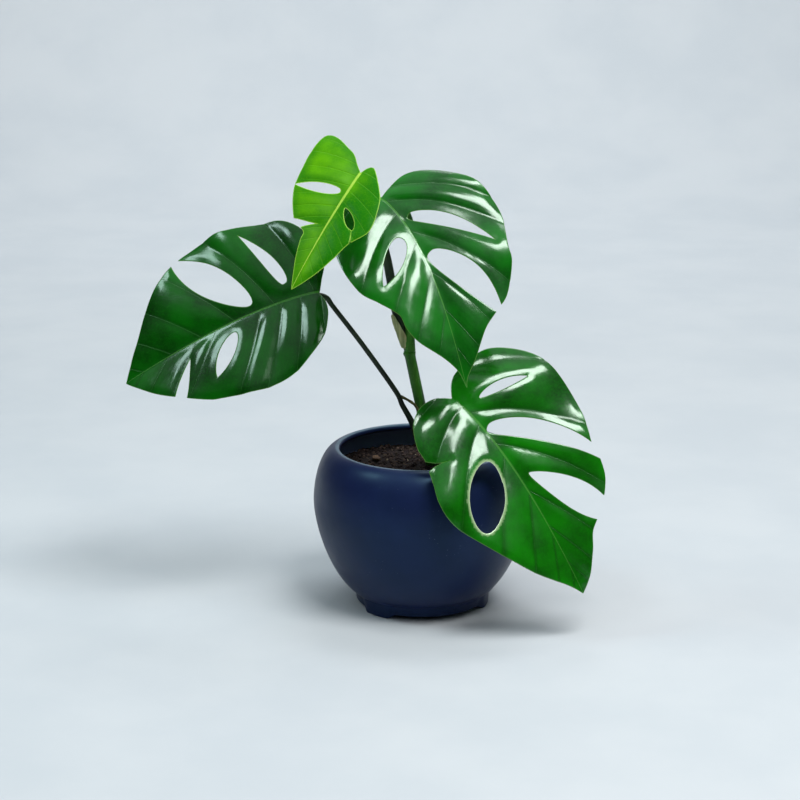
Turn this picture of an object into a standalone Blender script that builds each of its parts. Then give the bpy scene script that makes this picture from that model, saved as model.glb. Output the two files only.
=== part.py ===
# Potted monstera: four split leaves on long petioles, growing from one stem in a glazed bowl pot.
# Metres, +Z up. The leaves face -Y. The origin is under the middle of the whole plant, on the floor.
import math

import bmesh
import bpy
from mathutils import Matrix, Vector
from mathutils.geometry import delaunay_2d_cdt

# Clearance that touching pieces keep
GAP = 0.0003

# Pot
POT_RADIUS = 0.100
POT_HEIGHT = 0.149
BELLY_HEIGHT = 0.098
RIM_RADIUS = 0.078
BASE_RADIUS = 0.061
BASE_TOP = 0.014
WALL = 0.0055
FLOOR = 0.007
DRAIN_RADIUS = 0.008
FOOT_HEIGHT = 0.004
FOOT_LENGTH = 0.030
FOOT_DEPTH = 0.012
FOOT_STEP = 0.002
FOOT_ANGLES = (-132, -12, 108)
TURNED_STEPS = 40

# Soil
SOIL_DROP = 0.024
SOIL_CROWN = 0.003
CHIP_SIZE = 0.011

# Stem and petioles
STEM_RADIUS = 0.0049
ROOT_RADIUS = 0.0068
NODE_RADIUS = 0.0058
STEM_BURIED = 0.045
PETIOLE_RADIUS = 0.0028
PETIOLE_FOOT_RADIUS = 0.0045
THIN_PETIOLE_RADIUS = 0.0023
AERIAL_ROOT_RADIUS = 0.0013
SHEATH_LENGTH = 0.027
SHEATH_THICKNESS = 0.0007

# Leaves
YOUNG_LENGTH = 0.120
UPPER_LENGTH = 0.187
LEFT_LENGTH = 0.198
LOWER_LENGTH = 0.201
BLADE = 0.0009
RIB_DEPTH = 0.0028
RIB_HALF_WIDTH = 0.0028
MESH_SPACING = 0.0105
SHARP = True

RIM = POT_HEIGHT
SOIL_LEVEL = RIM - SOIL_DROP

# A leaf's shape is drawn flat, in hundredths of its length from the petiole joint: across to its
# left seen from behind, then down towards the tip. A slot is a split or a window between two veins:
# its inner end, its outer end, its width, its bow to one side and where along it the widest point is.
LEAVES = {
    "young": {
        "length": YOUNG_LENGTH,
        "joint": (-0.055, -0.062, 0.264),
        "turn": -5,
        "pitch": 42,
        "roll": -29,
        "droop": 20,
        "fold": 0.22,
        "arch": 3.2,
        "rib": (3, 0),
        "outline": [
            (0, -1, SHARP), (-6, -6), (-12.5, -12), (-20.5, -15), (-30, -18), (-37, -17), (-40, -11),
            (-40, 4), (-38.5, 16), (-36, 29), (-33, 37), (-27, 47), (-20, 56, SHARP), (-10.5, 59),
            (-9, 66), (-5.5, 78), (-1.5, 88.5), (3, 100, SHARP), (9, 91), (15, 80), (20, 67),
            (24, 53), (31, 41), (32, 33), (29.5, 23), (25.5, 12.5), (20, 5), (11, -5), (5.5, -9.5),
            (2, -7),
        ],
        "slots": [
            ((-4, 19), (-36, 31), 8.5, 0, 0.4),
            ((-4.5, 49), (-26, 61), 8, 0, 0.75),
            ((6, 29), (21, 42.5), 7, 0, 0.55),
            ((20, 42), (27, 56), 1.6, 0, 0.8),
        ],
    },
    "upper": {
        "length": UPPER_LENGTH,
        "joint": (-0.0365, -0.028, 0.2356),
        "turn": 0,
        "pitch": 40,
        "roll": 22,
        "droop": 22,
        "fold": 0.2,
        "arch": 2.2,
        "rib": (3.5, 6.3),
        "outline": [
            (0.5, -1, SHARP), (7, -5), (16, -8), (26, -6), (37, 0.5), (45, 8), (49, 19), (49.5, 30),
            (46, 44), (44.5, 53), (37, 66), (29, 72), (21, 78), (12, 89), (5.5, 96),
            (3.5, 100.5, SHARP), (2.5, 92), (-2, 84), (-10, 74), (-13.5, 66), (-14.5, 58),
            (-21, 50), (-27, 43), (-30.5, 33), (-31, 22), (-29, 11), (-22, 2), (-12, -4), (-4, -4),
        ],
        "slots": [
            ((8, 13), (41.5, 40), 7.5, -3, 0.35),
            ((10.5, 34), (31.5, 76), 13.5, -3.3, 0.4),
            ((1, 23), (-16.5, 43.5), 9.5, -0.5, 0.38),
        ],
    },
    "left": {
        "length": LEFT_LENGTH,
        "joint": (-0.092, -0.020, 0.150),
        "turn": -10,
        "pitch": 36,
        "roll": -66,
        "droop": 18,
        "fold": 0.2,
        "arch": 2.2,
        "rib": (3, -3),
        "outline": [
            (0.5, 0.5, SHARP), (6, -1), (13, 0), (22.5, 5), (29.5, 14), (34.5, 25), (36, 34),
            (35.5, 43), (32, 57), (30, 63), (24, 74), (17, 85), (8, 95), (3, 100, SHARP), (-4, 94),
            (-14, 86), (-25, 78), (-35, 68), (-42, 56), (-46, 40), (-45, 30), (-44, 20), (-42, 9),
            (-37, 2), (-30, -3), (-21, -7), (-12, -6), (-5, -2.5),
        ],
        "slots": [
            ((-9.5, 13.5), (-40.5, 27), 6, 1.5, 0.3),
            ((-6, 31), (-42, 61), 15, 0, 0.5),
            ((4, 42), (22, 56), 8, 0, 0.45),
            ((7, 66), (33, 80), 6, 0, 0.6),
        ],
    },
    "lower": {
        "length": LOWER_LENGTH,
        "joint": (0.0335, -(POT_RADIUS - 0.040), 0.0555),
        "turn": 8,
        "pitch": 34,
        "roll": 31,
        "droop": 20,
        "fold": 0.2,
        "arch": 2.2,
        "rib": (0, 3.3),
        "outline": [
            (-1, -4.5, SHARP), (-6, -8), (-12, -9), (-18, -7.5), (-24, -2.5), (-28, 6), (-28.5, 13),
            (-31, 22), (-34.5, 31), (-35, 40), (-32, 49), (-25, 63), (-15, 80), (-4, 93.5),
            (0, 100, SHARP), (6.5, 94.5), (13, 86), (18, 78.5), (27, 72), (36, 63), (39, 54),
            (39, 47), (43.5, 35), (46, 22), (45.5, 9), (43, 0.5), (38, -7), (30, -13.5),
            (22, -15.8), (9, -14), (3, -10.5),
        ],
        "slots": [
            ((9, 2), (33, 6), 4.8, -1.1, 0.45),
            ((4, 15), (43, 60), 10, -5.5, 0.35),
            ((7.5, 42), (30, 80), 14, -1.3, 0.6),
            ((-5, 28), (-24.5, 54), 16.5, 0, 0.5),
            ((-19, 18.6), (-32, 14.5), 5, 0, 0.85),
        ],
    },
}

# Places along the stem and the petioles, from the middle of the pot's mouth
STEM_PATH = [
    (0.0175, 0.004, -SOIL_DROP - STEM_BURIED),
    (0.0150, 0.003, -SOIL_DROP - STEM_BURIED / 2),
    (0.0115, 0.002, -SOIL_DROP),
    (0.0040, 0.0, 0.014),
    (-0.0029, 0.0, 0.047),
    (-0.0100, 0.0, 0.082),
    (-0.0116, 0.0, 0.090),
    (-0.0126, 0.0, 0.096),
]
YOUNG_PATH = [
    (-0.0118, 0.002, 0.091),
    (-0.0165, 0.003, 0.106),
    (-0.0242, 0.004, 0.130),
    (-0.0284, 0.004, 0.156),
    (-0.0330, 0.003, 0.180),
    (-0.0420, 0.002, 0.211),
    (-0.0490, 0.001, 0.236),
    (-0.0530, -0.009, 0.252),
    (-0.0545, -0.028, 0.2595),
    (-0.0550, -0.046, 0.260),
]
UPPER_PATH = [
    (-0.0105, -0.002, 0.091),
    (-0.0110, -0.001, 0.106),
    (-0.0105, 0.002, 0.136),
    (-0.0090, 0.006, 0.181),
    (-0.0120, 0.004, 0.212),
    (-0.0230, -0.004, 0.230),
    (-0.0320, -0.014, 0.2335),
]
LEFT_PATH = [
    (0.0080, -0.001, -0.012),
    (-0.0020, -0.007, 0.006),
    (-0.0095, -0.009, 0.026),
    (-0.0180, -0.009, 0.042),
    (-0.0245, -0.010, 0.056),
    (-0.0540, -0.011, 0.099),
    (-0.0800, -0.012, 0.134),
    (-0.0860, -0.013, 0.1425),
]
LOWER_PATH = [
    (0.0085, -0.001, -0.010),
    (0.0165, -0.012, 0.004),
    (0.0230, -0.026, 0.021),
    (0.0290, -0.042, 0.0385),
]
AERIAL_ROOT_PATH = [
    (-0.0195, -0.009, 0.050),
    (-0.0125, -0.012, 0.047),
    (-0.0070, -0.010, 0.0425),
    (-0.0035, -0.005, 0.036),
    (0.0000, 0.000, 0.031),
]
# Bark chips on the soil: direction from the middle, distance, turn, length and tilt
CHIPS = {
    "bark_chip_1": (-128, 0.052, 20, 1.25, 8),
    "bark_chip_2": (-104, 0.046, -35, 0.9, -6),
    "bark_chip_3": (150, 0.048, 70, 1.1, 5),
    "bark_chip_4": (55, 0.045, 10, 1.3, -8),
    "bark_chip_5": (-30, 0.058, 48, 1.0, 7),
}


def clear_scene():
    for thing in list(bpy.data.objects):
        bpy.data.objects.remove(thing, do_unlink=True)


def make_collection(name):
    collection = bpy.data.collections.new(name)
    bpy.context.scene.collection.children.link(collection)
    return collection


def make_material(name, colour, roughness, metallic=0.0):
    material = bpy.data.materials.new(name)
    material.use_nodes = True
    shader = material.node_tree.nodes["Principled BSDF"]
    shader.inputs["Base Color"].default_value = (*colour, 1.0)
    shader.inputs["Roughness"].default_value = roughness
    shader.inputs["Metallic"].default_value = metallic
    return material


def add_piece(name, mesh, material):
    piece = bpy.data.objects.new(name, mesh)
    mesh.materials.clear()
    mesh.materials.append(material)
    mesh.shade_smooth()
    parts.objects.link(piece)
    piece.parent = plant_root
    return piece


def add_cutter(name, mesh):
    cutter = bpy.data.objects.new(name, mesh)
    cutter.hide_render = True
    cutter.display_type = "WIRE"
    cutters.objects.link(cutter)
    cutter.parent = plant_root
    return cutter


def add_boolean(piece, cutter, operation="DIFFERENCE"):
    modifier = piece.modifiers.new(cutter.name, "BOOLEAN")
    modifier.operation = operation
    modifier.solver = "EXACT"
    modifier.object = cutter


def smooth_path(points, spacing, closed=False):
    """Points about a spacing apart on a smooth curve through the given ones, broken at sharp ones."""
    count = len(points)
    places = [Vector(point[:3]) for point in points]
    sharp = [len(point) == 3 and point[2] is SHARP for point in points]
    if closed:
        places = [Vector(point[:2]) for point in points]
    result = []
    for i in range(count if closed else count - 1):
        start = places[i]
        end = places[(i + 1) % count]
        before = places[i - 1] if closed or i else start
        after = places[(i + 2) % count] if closed or i + 2 < count else end
        if sharp[i]:
            before = start
        if sharp[(i + 1) % count]:
            after = end
        steps = max(1, round((end - start).length / spacing))
        for step in range(steps):
            t = step / steps
            result.append(
                start
                + (end - before) * (t / 2)
                + (before * 2 - start * 5 + end * 4 - after) * (t * t / 2)
                + (start * 3 - before - end * 3 + after) * (t * t * t / 2)
            )
    if not closed:
        result.append(places[-1])
    return result


def tube_mesh(name, points, radii, bevel_resolution=2):
    """A closed round tube through the points, each with its own radius."""
    curve = bpy.data.curves.new(name, "CURVE")
    curve.dimensions = "3D"
    curve.bevel_depth = 1.0
    curve.bevel_resolution = bevel_resolution
    curve.use_fill_caps = True
    spline = curve.splines.new("POLY")
    spline.points.add(len(points) - 1)
    for target, point, radius in zip(spline.points, points, radii):
        target.co = (*point, 1.0)
        target.radius = radius
    guide = bpy.data.objects.new(name, curve)
    cutters.objects.link(guide)
    evaluated = guide.evaluated_get(bpy.context.evaluated_depsgraph_get())
    mesh = bpy.data.meshes.new_from_object(evaluated)
    bpy.data.objects.remove(guide)
    weld = bmesh.new()
    weld.from_mesh(mesh)
    bmesh.ops.remove_doubles(weld, verts=weld.verts, dist=0.00001)
    bmesh.ops.recalc_face_normals(weld, faces=weld.faces)
    weld.to_mesh(mesh)
    weld.free()
    return mesh


def turned_mesh(name, profile, closed):
    mesh = bpy.data.meshes.new(name)
    count = len(profile)
    edges = [(i, i + 1) for i in range(count - 1)]
    if closed:
        edges.append((count - 1, 0))
    mesh.from_pydata([(radius, 0, height) for radius, height in profile], edges, [])
    return mesh


def add_screw(piece):
    screw = piece.modifiers.new("Turn", "SCREW")
    screw.axis = "Z"
    screw.steps = TURNED_STEPS
    screw.render_steps = TURNED_STEPS
    screw.use_merge_vertices = True
    screw.merge_threshold = 0.00001
    screw.use_smooth_shade = True


def wall_profile(inset, top):
    """The pot's wall from a height down to its base, moved inwards by the inset."""
    shoulder_width = POT_RADIUS - RIM_RADIUS - inset
    shoulder_height = RIM - BELLY_HEIGHT - inset
    bowl_width = POT_RADIUS - BASE_RADIUS - inset
    bowl_height = BELLY_HEIGHT - BASE_TOP - inset
    bowl_power = 2 / 1.55
    highest = math.asin(min(1.0, (top - BELLY_HEIGHT) / shoulder_height))
    profile = []
    for i in range(8):
        angle = highest * (1 - i / 8)
        radius = RIM_RADIUS + shoulder_width * math.cos(angle)
        height = BELLY_HEIGHT + shoulder_height * math.sin(angle)
        profile.append((radius, height))
    for i in range(9):
        angle = math.radians(90) * i / 8
        across = max(0.0, math.cos(angle)) ** bowl_power
        down = math.sin(angle) ** bowl_power
        profile.append((BASE_RADIUS + bowl_width * across, BELLY_HEIGHT - bowl_height * down))
    return profile


def make_pot():
    floor_top = FOOT_HEIGHT + FLOOR
    outside = wall_profile(0, RIM)
    inside = wall_profile(WALL, RIM - WALL)
    inside.append((BASE_RADIUS - WALL, floor_top))
    profile = outside + [
        (BASE_RADIUS - 0.0005, FOOT_HEIGHT + 0.002),
        (BASE_RADIUS - 0.0025, FOOT_HEIGHT),
        (DRAIN_RADIUS, FOOT_HEIGHT),
        (DRAIN_RADIUS, floor_top),
    ]
    profile += reversed(inside)
    for angle in (225, 180, 135):
        radius = RIM_RADIUS + WALL / 2 * math.cos(math.radians(angle))
        height = RIM - WALL / 2 + WALL / 2 * math.sin(math.radians(angle))
        profile.append((radius, height))
    pot = add_piece("pot", turned_mesh("pot", profile, True), glaze)
    add_screw(pot)
    sunk = FLOOR / 2
    for number, angle in enumerate(FOOT_ANGLES, 1):
        block = bmesh.new()
        bmesh.ops.create_cube(block, size=1.0)
        size = Matrix.Diagonal((FOOT_DEPTH, FOOT_LENGTH, FOOT_HEIGHT + sunk, 1.0))
        distance = BASE_RADIUS - FOOT_DEPTH / 2 + FOOT_STEP
        place = Matrix.Translation((distance, 0, (FOOT_HEIGHT + sunk) / 2))
        turn = Matrix.Rotation(math.radians(angle), 4, "Z")
        bmesh.ops.transform(block, matrix=turn @ place @ size, verts=block.verts)
        upright = [edge for edge in block.edges if abs(edge.verts[0].co.z - edge.verts[1].co.z) > 0.001]
        bmesh.ops.bevel(block, geom=upright, offset=0.003, segments=2, affect="EDGES")
        mesh = bpy.data.meshes.new(f"foot_{number}")
        block.to_mesh(mesh)
        block.free()
        add_boolean(pot, add_cutter(f"foot_{number}", mesh), "UNION")
    return pot


def make_soil(stem_cutters):
    inset = WALL + GAP
    profile = wall_profile(inset, SOIL_LEVEL)
    profile.append((BASE_RADIUS - inset, FOOT_HEIGHT + FLOOR + GAP))
    profile.append((0.0, FOOT_HEIGHT + FLOOR + GAP))
    edge = profile[0][0]
    crown = [
        (edge * share, SOIL_LEVEL + SOIL_CROWN * (1 - share * share) * (1 if i % 2 else 0.6))
        for i, share in enumerate((0.0, 0.3, 0.55, 0.8))
    ]
    soil = add_piece("soil", turned_mesh("soil", crown + profile, False), earth)
    add_screw(soil)
    for cutter in stem_cutters:
        add_boolean(soil, cutter)
    return soil


def soil_height(distance):
    return SOIL_LEVEL + SOIL_CROWN * max(0.0, 1 - (distance / RIM_RADIUS) ** 2)


def make_chip(name, direction, distance, turn, stretch, tilt):
    """A broken flake of bark that lies on the soil."""
    flake = bmesh.new()
    bmesh.ops.create_icosphere(flake, subdivisions=2, radius=0.5)
    length = CHIP_SIZE * stretch
    size = Matrix.Diagonal((length, CHIP_SIZE * 0.62, CHIP_SIZE * 0.3, 1.0))
    bmesh.ops.transform(flake, matrix=size, verts=flake.verts)
    for vertex in flake.verts:
        wave = math.sin(vertex.co.x * 900 + turn) * math.cos(vertex.co.y * 1100 - tilt)
        vertex.co *= 1 + 0.10 * wave
    angle = math.radians(direction)
    lift = soil_height(distance) + CHIP_SIZE * 0.3
    place = Matrix.Translation((distance * math.cos(angle), distance * math.sin(angle), lift))
    turned = Matrix.Rotation(math.radians(turn), 4, "Z") @ Matrix.Rotation(math.radians(tilt), 4, "Y")
    bmesh.ops.transform(flake, matrix=place @ turned, verts=flake.verts)
    mesh = bpy.data.meshes.new(name)
    flake.to_mesh(mesh)
    flake.free()
    return add_piece(name, mesh, bark)


def above_rim(points):
    return [(x, y, z + RIM) for x, y, z in points]


def make_stalk(name, path, radii, material, extra=0.0):
    """A stem or petiole through a path's places, with its radius read along a list of shares."""
    points = smooth_path(above_rim(path), 0.008)
    lengths = [0.0]
    for before, after in zip(points, points[1:]):
        lengths.append(lengths[-1] + (after - before).length)
    widths = []
    for length in lengths:
        share = length / lengths[-1] * (len(radii) - 1)
        low = min(int(share), len(radii) - 2)
        widths.append(radii[low] + (radii[low + 1] - radii[low]) * (share - low) + extra)
    mesh = tube_mesh(name, points, widths)
    if material is None:
        return add_cutter(name, mesh)
    return add_piece(name, mesh, material)


def leaf_matrix(leaf):
    x, y, z = leaf["joint"]
    return (
        Matrix.Translation((x, y, z + RIM))
        @ Matrix.Rotation(math.radians(leaf["turn"]), 4, "Z")
        @ Matrix.Rotation(-math.radians(leaf["pitch"]), 4, "X")
        @ Matrix.Rotation(-math.radians(leaf["roll"]), 4, "Y")
    )


def rib_offset(leaf, down):
    """How far the midrib lies to one side of the straight line from the joint to the tip."""
    length = leaf["length"]
    tip, bow = leaf["rib"]
    share = min(1.0, max(0.0, down / length))
    return (tip * share + bow * math.sin(math.pi * share ** 0.7)) * length / 100


def leaf_point(leaf, across, down):
    """A flat point of the leaf on its drooping midrib and its folded, arched halves."""
    curve = math.radians(leaf["droop"]) / leaf["length"]
    swing = curve * max(0.0, down)
    along = math.sin(swing) / curve if down > 0 else down
    back = (1 - math.cos(swing)) / curve
    side = across - rib_offset(leaf, down)
    crease = RIB_HALF_WIDTH
    lift = leaf["fold"] * (math.hypot(side, crease) - crease) - leaf["arch"] * side * side
    normal = Vector((0, -math.cos(swing), -math.sin(swing)))
    return Vector((across, back, -along)) + normal * lift


def slot_loop(leaf, inner, outer, width, bow, widest):
    """The closed outline of one split or window between two veins."""
    start = Vector(inner) * leaf["length"] / 100
    end = Vector(outer) * leaf["length"] / 100
    along = end - start
    side = Vector((-along.y, along.x)).normalized()
    power = math.log(0.5) / math.log(widest)
    steps = max(5, round(along.length / MESH_SPACING) + 2)
    near = []
    far = []
    for i in range(steps + 1):
        share = (1 - math.cos(math.pi * i / steps)) / 2
        middle = start + along * share + side * (bow * 4 * share * (1 - share) * leaf["length"] / 100)
        half = width / 2 * math.sin(math.pi * share ** power) ** 0.75 * leaf["length"] / 100
        if i in (0, steps):
            half = 0.0
        near.append(middle + side * half)
        far.append(middle - side * half)
    return near + far[-2:0:-1]


def counterclockwise(loop):
    area = sum(before.cross(after) for before, after in zip(loop, loop[1:] + loop[:1]))
    return loop if area > 0 else loop[::-1]


def flat_leaf(leaf):
    """Triangles that fill the leaf's outline around its slots, as flat points and faces."""
    scale = leaf["length"] / 100
    spacing = MESH_SPACING / scale
    outline = [point * scale for point in smooth_path(leaf["outline"], spacing, closed=True)]
    points = []
    faces = []
    for loop in [outline] + [slot_loop(leaf, *slot) for slot in leaf["slots"]]:
        faces.append(list(range(len(points), len(points) + len(loop))))
        points += counterclockwise(loop)
    rims = list(points)
    edges = []
    rows = round(leaf["length"] / MESH_SPACING)
    for side in (-RIB_HALF_WIDTH, 0, RIB_HALF_WIDTH):
        first = len(points)
        for row in range(1, rows):
            down = leaf["length"] * (row - 0.6) / rows
            points.append(Vector((rib_offset(leaf, down) + side, down)))
        edges += [(i, i + 1) for i in range(first, len(points) - 1)]
    reach = range(-int(0.6 * rows), int(0.6 * rows))
    for row in range(-3, rows + 1):
        for column in reach:
            down = row * MESH_SPACING
            across = (column + 0.5 * (row % 2)) * MESH_SPACING * 1.1
            spot = Vector((across, down))
            near_rib = 0 < down and abs(across - rib_offset(leaf, down)) < MESH_SPACING * 0.75
            if not near_rib and all((spot - rim).length > MESH_SPACING * 0.55 for rim in rims):
                points.append(spot)
    flat, _, triangles, _, _, sources = delaunay_2d_cdt(points, edges, faces, 0, 1e-6, True)
    kept = [face for face, source in zip(triangles, sources) if list(source) == [0]]
    return flat, kept


def make_leaf(name, leaf, material):
    flat, triangles = flat_leaf(leaf)
    blade = bmesh.new()
    weights = blade.verts.layers.deform.new()
    verts = {}
    for index in sorted({index for triangle in triangles for index in triangle}):
        across, down = flat[index]
        vertex = blade.verts.new(leaf_point(leaf, across, down))
        side = abs(across - rib_offset(leaf, down))
        taper = 1 - 0.8 * min(1.0, max(0.0, down / leaf["length"]))
        inside = 0 < down < leaf["length"] * 0.97
        vertex[weights][0] = taper * max(0.0, 1 - side / RIB_HALF_WIDTH * 0.8) if inside else 0.0
        if side > RIB_HALF_WIDTH * 1.3:
            vertex[weights][0] = 0.0
        verts[index] = vertex
    for triangle in triangles:
        blade.faces.new([verts[index] for index in reversed(triangle)])
    bmesh.ops.remove_doubles(blade, verts=blade.verts, dist=0.0004)
    bmesh.ops.transform(blade, matrix=leaf_matrix(leaf), verts=blade.verts)
    mesh = bpy.data.meshes.new(name)
    blade.to_mesh(mesh)
    blade.free()
    piece = add_piece(name, mesh, material)
    piece.vertex_groups.new(name="rib")
    solid = piece.modifiers.new("Blade", "SOLIDIFY")
    solid.thickness = RIB_DEPTH
    solid.offset = -1
    solid.vertex_group = "rib"
    solid.thickness_vertex_group = BLADE / RIB_DEPTH
    return piece


def petiole_path(path, leaf):
    """The petiole's places, ending square to the underside of its leaf's joint."""
    place = leaf_matrix(leaf)
    joint = place @ leaf_point(leaf, rib_offset(leaf, 0.004), 0.004)
    back = (place.to_3x3() @ Vector((0, 1, 0))).normalized()
    floor = Vector((0, 0, RIM))
    end = joint + back * (RIB_DEPTH + GAP) - floor
    bend = joint + back * (RIB_DEPTH + GAP + 0.004) - floor
    return path + [tuple(bend), tuple(end)]


def make_sheath():
    """The dry, papery remnant of an old sheath, which clasps the young leaf's petiole."""
    points = smooth_path(above_rim(YOUNG_PATH), 0.004)
    start = RIM + 0.0995
    rows = [point for point in points if start <= point.z <= start + SHEATH_LENGTH]
    sheet = bmesh.new()
    columns = 5
    grid = []
    for i, centre in enumerate(rows):
        share = i / (len(rows) - 1)
        spread = math.radians(62) * (1 - share) ** 0.6 + math.radians(5)
        radius = PETIOLE_FOOT_RADIUS + GAP + 0.0009 + 0.0012 * share
        line = []
        for column in range(columns):
            angle = math.radians(215) + spread * (2 * column / (columns - 1) - 1)
            offset = Vector((math.cos(angle), math.sin(angle), 0)) * radius
            line.append(sheet.verts.new(centre + offset))
        grid.append(line)
    for low, high in zip(grid, grid[1:]):
        for column in range(columns - 1):
            sheet.faces.new((low[column], low[column + 1], high[column + 1], high[column]))
    mesh = bpy.data.meshes.new("dry_sheath")
    sheet.to_mesh(mesh)
    sheet.free()
    sheath = add_piece("dry_sheath", mesh, straw)
    solid = sheath.modifiers.new("Sheet", "SOLIDIFY")
    solid.thickness = SHEATH_THICKNESS
    solid.offset = 1
    return sheath


def rest_on_floor():
    """Moves the plant so that its box stands on the floor with the origin under its middle."""
    graph = bpy.context.evaluated_depsgraph_get()
    graph.update()
    corners = []
    for piece in parts.objects:
        evaluated = piece.evaluated_get(graph)
        corners += [evaluated.matrix_world @ Vector(corner) for corner in evaluated.bound_box]
    low = Vector(min(corner[axis] for corner in corners) for axis in range(3))
    high = Vector(max(corner[axis] for corner in corners) for axis in range(3))
    plant_root.location = (-(low.x + high.x) / 2, -(low.y + high.y) / 2, -low.z)


clear_scene()
parts = make_collection("potted_monstera")
cutters = make_collection("cutters")
plant_root = bpy.data.objects.new("plant_root", None)
bpy.context.scene.collection.objects.link(plant_root)

glaze = make_material("navy_glaze", (0.012, 0.020, 0.052), 0.25)
earth = make_material("potting_soil", (0.020, 0.014, 0.010), 0.95)
bark = make_material("bark", (0.10, 0.055, 0.030), 0.9)
green_stalk = make_material("green_stalk", (0.030, 0.095, 0.022), 0.45)
dark_stalk = make_material("dark_stalk", (0.016, 0.030, 0.018), 0.5)
fresh_leaf = make_material("fresh_leaf", (0.060, 0.300, 0.010), 0.3)
grown_leaf = make_material("grown_leaf", (0.012, 0.090, 0.012), 0.3)
straw = make_material("straw", (0.25, 0.24, 0.11), 0.8)
root_skin = make_material("root_skin", (0.080, 0.090, 0.035), 0.8)

petioles = {
    "young": petiole_path(YOUNG_PATH, LEAVES["young"]),
    "upper": petiole_path(UPPER_PATH, LEAVES["upper"]),
    "left": petiole_path(LEFT_PATH, LEAVES["left"]),
    "lower": petiole_path(LOWER_PATH, LEAVES["lower"]),
}
thick = [PETIOLE_FOOT_RADIUS, PETIOLE_FOOT_RADIUS * 0.95, PETIOLE_RADIUS * 1.2, PETIOLE_RADIUS]
thin = [THIN_PETIOLE_RADIUS * 1.5, THIN_PETIOLE_RADIUS, THIN_PETIOLE_RADIUS, THIN_PETIOLE_RADIUS]
petiole_radii = {"young": thick, "upper": thick, "left": thin, "lower": thin}
petiole_skins = {
    "young": dark_stalk,
    "upper": green_stalk,
    "left": dark_stalk,
    "lower": green_stalk,
}
stem_radii = [
    ROOT_RADIUS,
    ROOT_RADIUS,
    (ROOT_RADIUS + STEM_RADIUS) / 2,
    STEM_RADIUS,
    STEM_RADIUS,
    STEM_RADIUS,
    NODE_RADIUS,
    STEM_RADIUS,
]

make_pot()
make_stalk("main_stem", STEM_PATH, stem_radii, green_stalk)
stem_socket = make_stalk("stem_socket", STEM_PATH, stem_radii, None, GAP)
sockets = {
    name: make_stalk(f"{name}_socket", petioles[name], petiole_radii[name], None, GAP)
    for name in petioles
}
stalks = {
    name: make_stalk(f"petiole_{name}", petioles[name], petiole_radii[name], petiole_skins[name])
    for name in petioles
}
for stalk in stalks.values():
    add_boolean(stalk, stem_socket)
add_boolean(stalks["young"], sockets["upper"])
add_boolean(stalks["lower"], sockets["left"])
make_soil([stem_socket, sockets["left"], sockets["lower"]])
aerial_root = make_stalk("aerial_root", AERIAL_ROOT_PATH, [AERIAL_ROOT_RADIUS] * 2, root_skin)
add_boolean(aerial_root, stem_socket)
add_boolean(aerial_root, sockets["left"])
sheath = make_sheath()
add_boolean(sheath, sockets["upper"])
for chip, places in CHIPS.items():
    make_chip(chip, *places)
for name, leaf in LEAVES.items():
    make_leaf(f"leaf_{name}", leaf, fresh_leaf if name == "young" else grown_leaf)
rest_on_floor()
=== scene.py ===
import math
import random

import bpy
import numpy as np
from mathutils import Matrix, Vector, kdtree, noise
from mathutils.geometry import delaunay_2d_cdt


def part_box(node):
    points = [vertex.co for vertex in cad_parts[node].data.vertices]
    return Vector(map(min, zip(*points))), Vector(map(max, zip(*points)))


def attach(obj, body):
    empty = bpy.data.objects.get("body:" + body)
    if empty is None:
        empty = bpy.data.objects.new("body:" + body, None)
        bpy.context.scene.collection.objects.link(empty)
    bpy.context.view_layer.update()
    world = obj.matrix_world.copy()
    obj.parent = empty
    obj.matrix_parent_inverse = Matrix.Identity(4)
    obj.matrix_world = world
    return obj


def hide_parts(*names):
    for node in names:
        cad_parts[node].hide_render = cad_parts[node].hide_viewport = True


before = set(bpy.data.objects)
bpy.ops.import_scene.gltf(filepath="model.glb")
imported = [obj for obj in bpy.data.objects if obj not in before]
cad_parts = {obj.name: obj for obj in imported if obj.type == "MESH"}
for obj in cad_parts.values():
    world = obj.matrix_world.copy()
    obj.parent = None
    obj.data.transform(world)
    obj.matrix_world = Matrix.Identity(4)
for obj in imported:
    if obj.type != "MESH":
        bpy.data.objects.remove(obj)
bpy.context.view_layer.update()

potLow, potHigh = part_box("pot")
# the middle of the pot's mouth, level with the rim
mouth = Vector(((potLow.x + potHigh.x) / 2, (potLow.y + potHigh.y) / 2, potHigh.z))
mm = 0.001
sharp = True  # marks a corner in an outline


class Wire:
    def __init__(self, paint, socket):
        self.paint = paint
        self.socket = socket

    def math(self, operation, *others):
        return self.paint.node("ShaderNodeMath", {"operation": operation}, dict(enumerate((self, *others))))

    def __add__(self, other):
        return self.math("ADD", other)

    def __radd__(self, other):
        return self.math("ADD", other)

    def __sub__(self, other):
        return self.math("SUBTRACT", other)

    def __rsub__(self, other):
        return self.paint.node("ShaderNodeMath", {"operation": "SUBTRACT"}, {0: other, 1: self})

    def __mul__(self, other):
        return self.math("MULTIPLY", other)

    def __rmul__(self, other):
        return self.math("MULTIPLY", other)

    def __truediv__(self, other):
        return self.math("DIVIDE", other)

    def __rtruediv__(self, other):
        return self.paint.node("ShaderNodeMath", {"operation": "DIVIDE"}, {0: other, 1: self})

    def __abs__(self):
        return self.math("ABSOLUTE")

    def smooth(self, low, high, start=0.0, end=1.0):
        return self.paint.node(
            "ShaderNodeMapRange",
            {"interpolation_type": "SMOOTHSTEP"},
            {"Value": self, "From Min": low, "From Max": high, "To Min": start, "To Max": end},
        )


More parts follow.
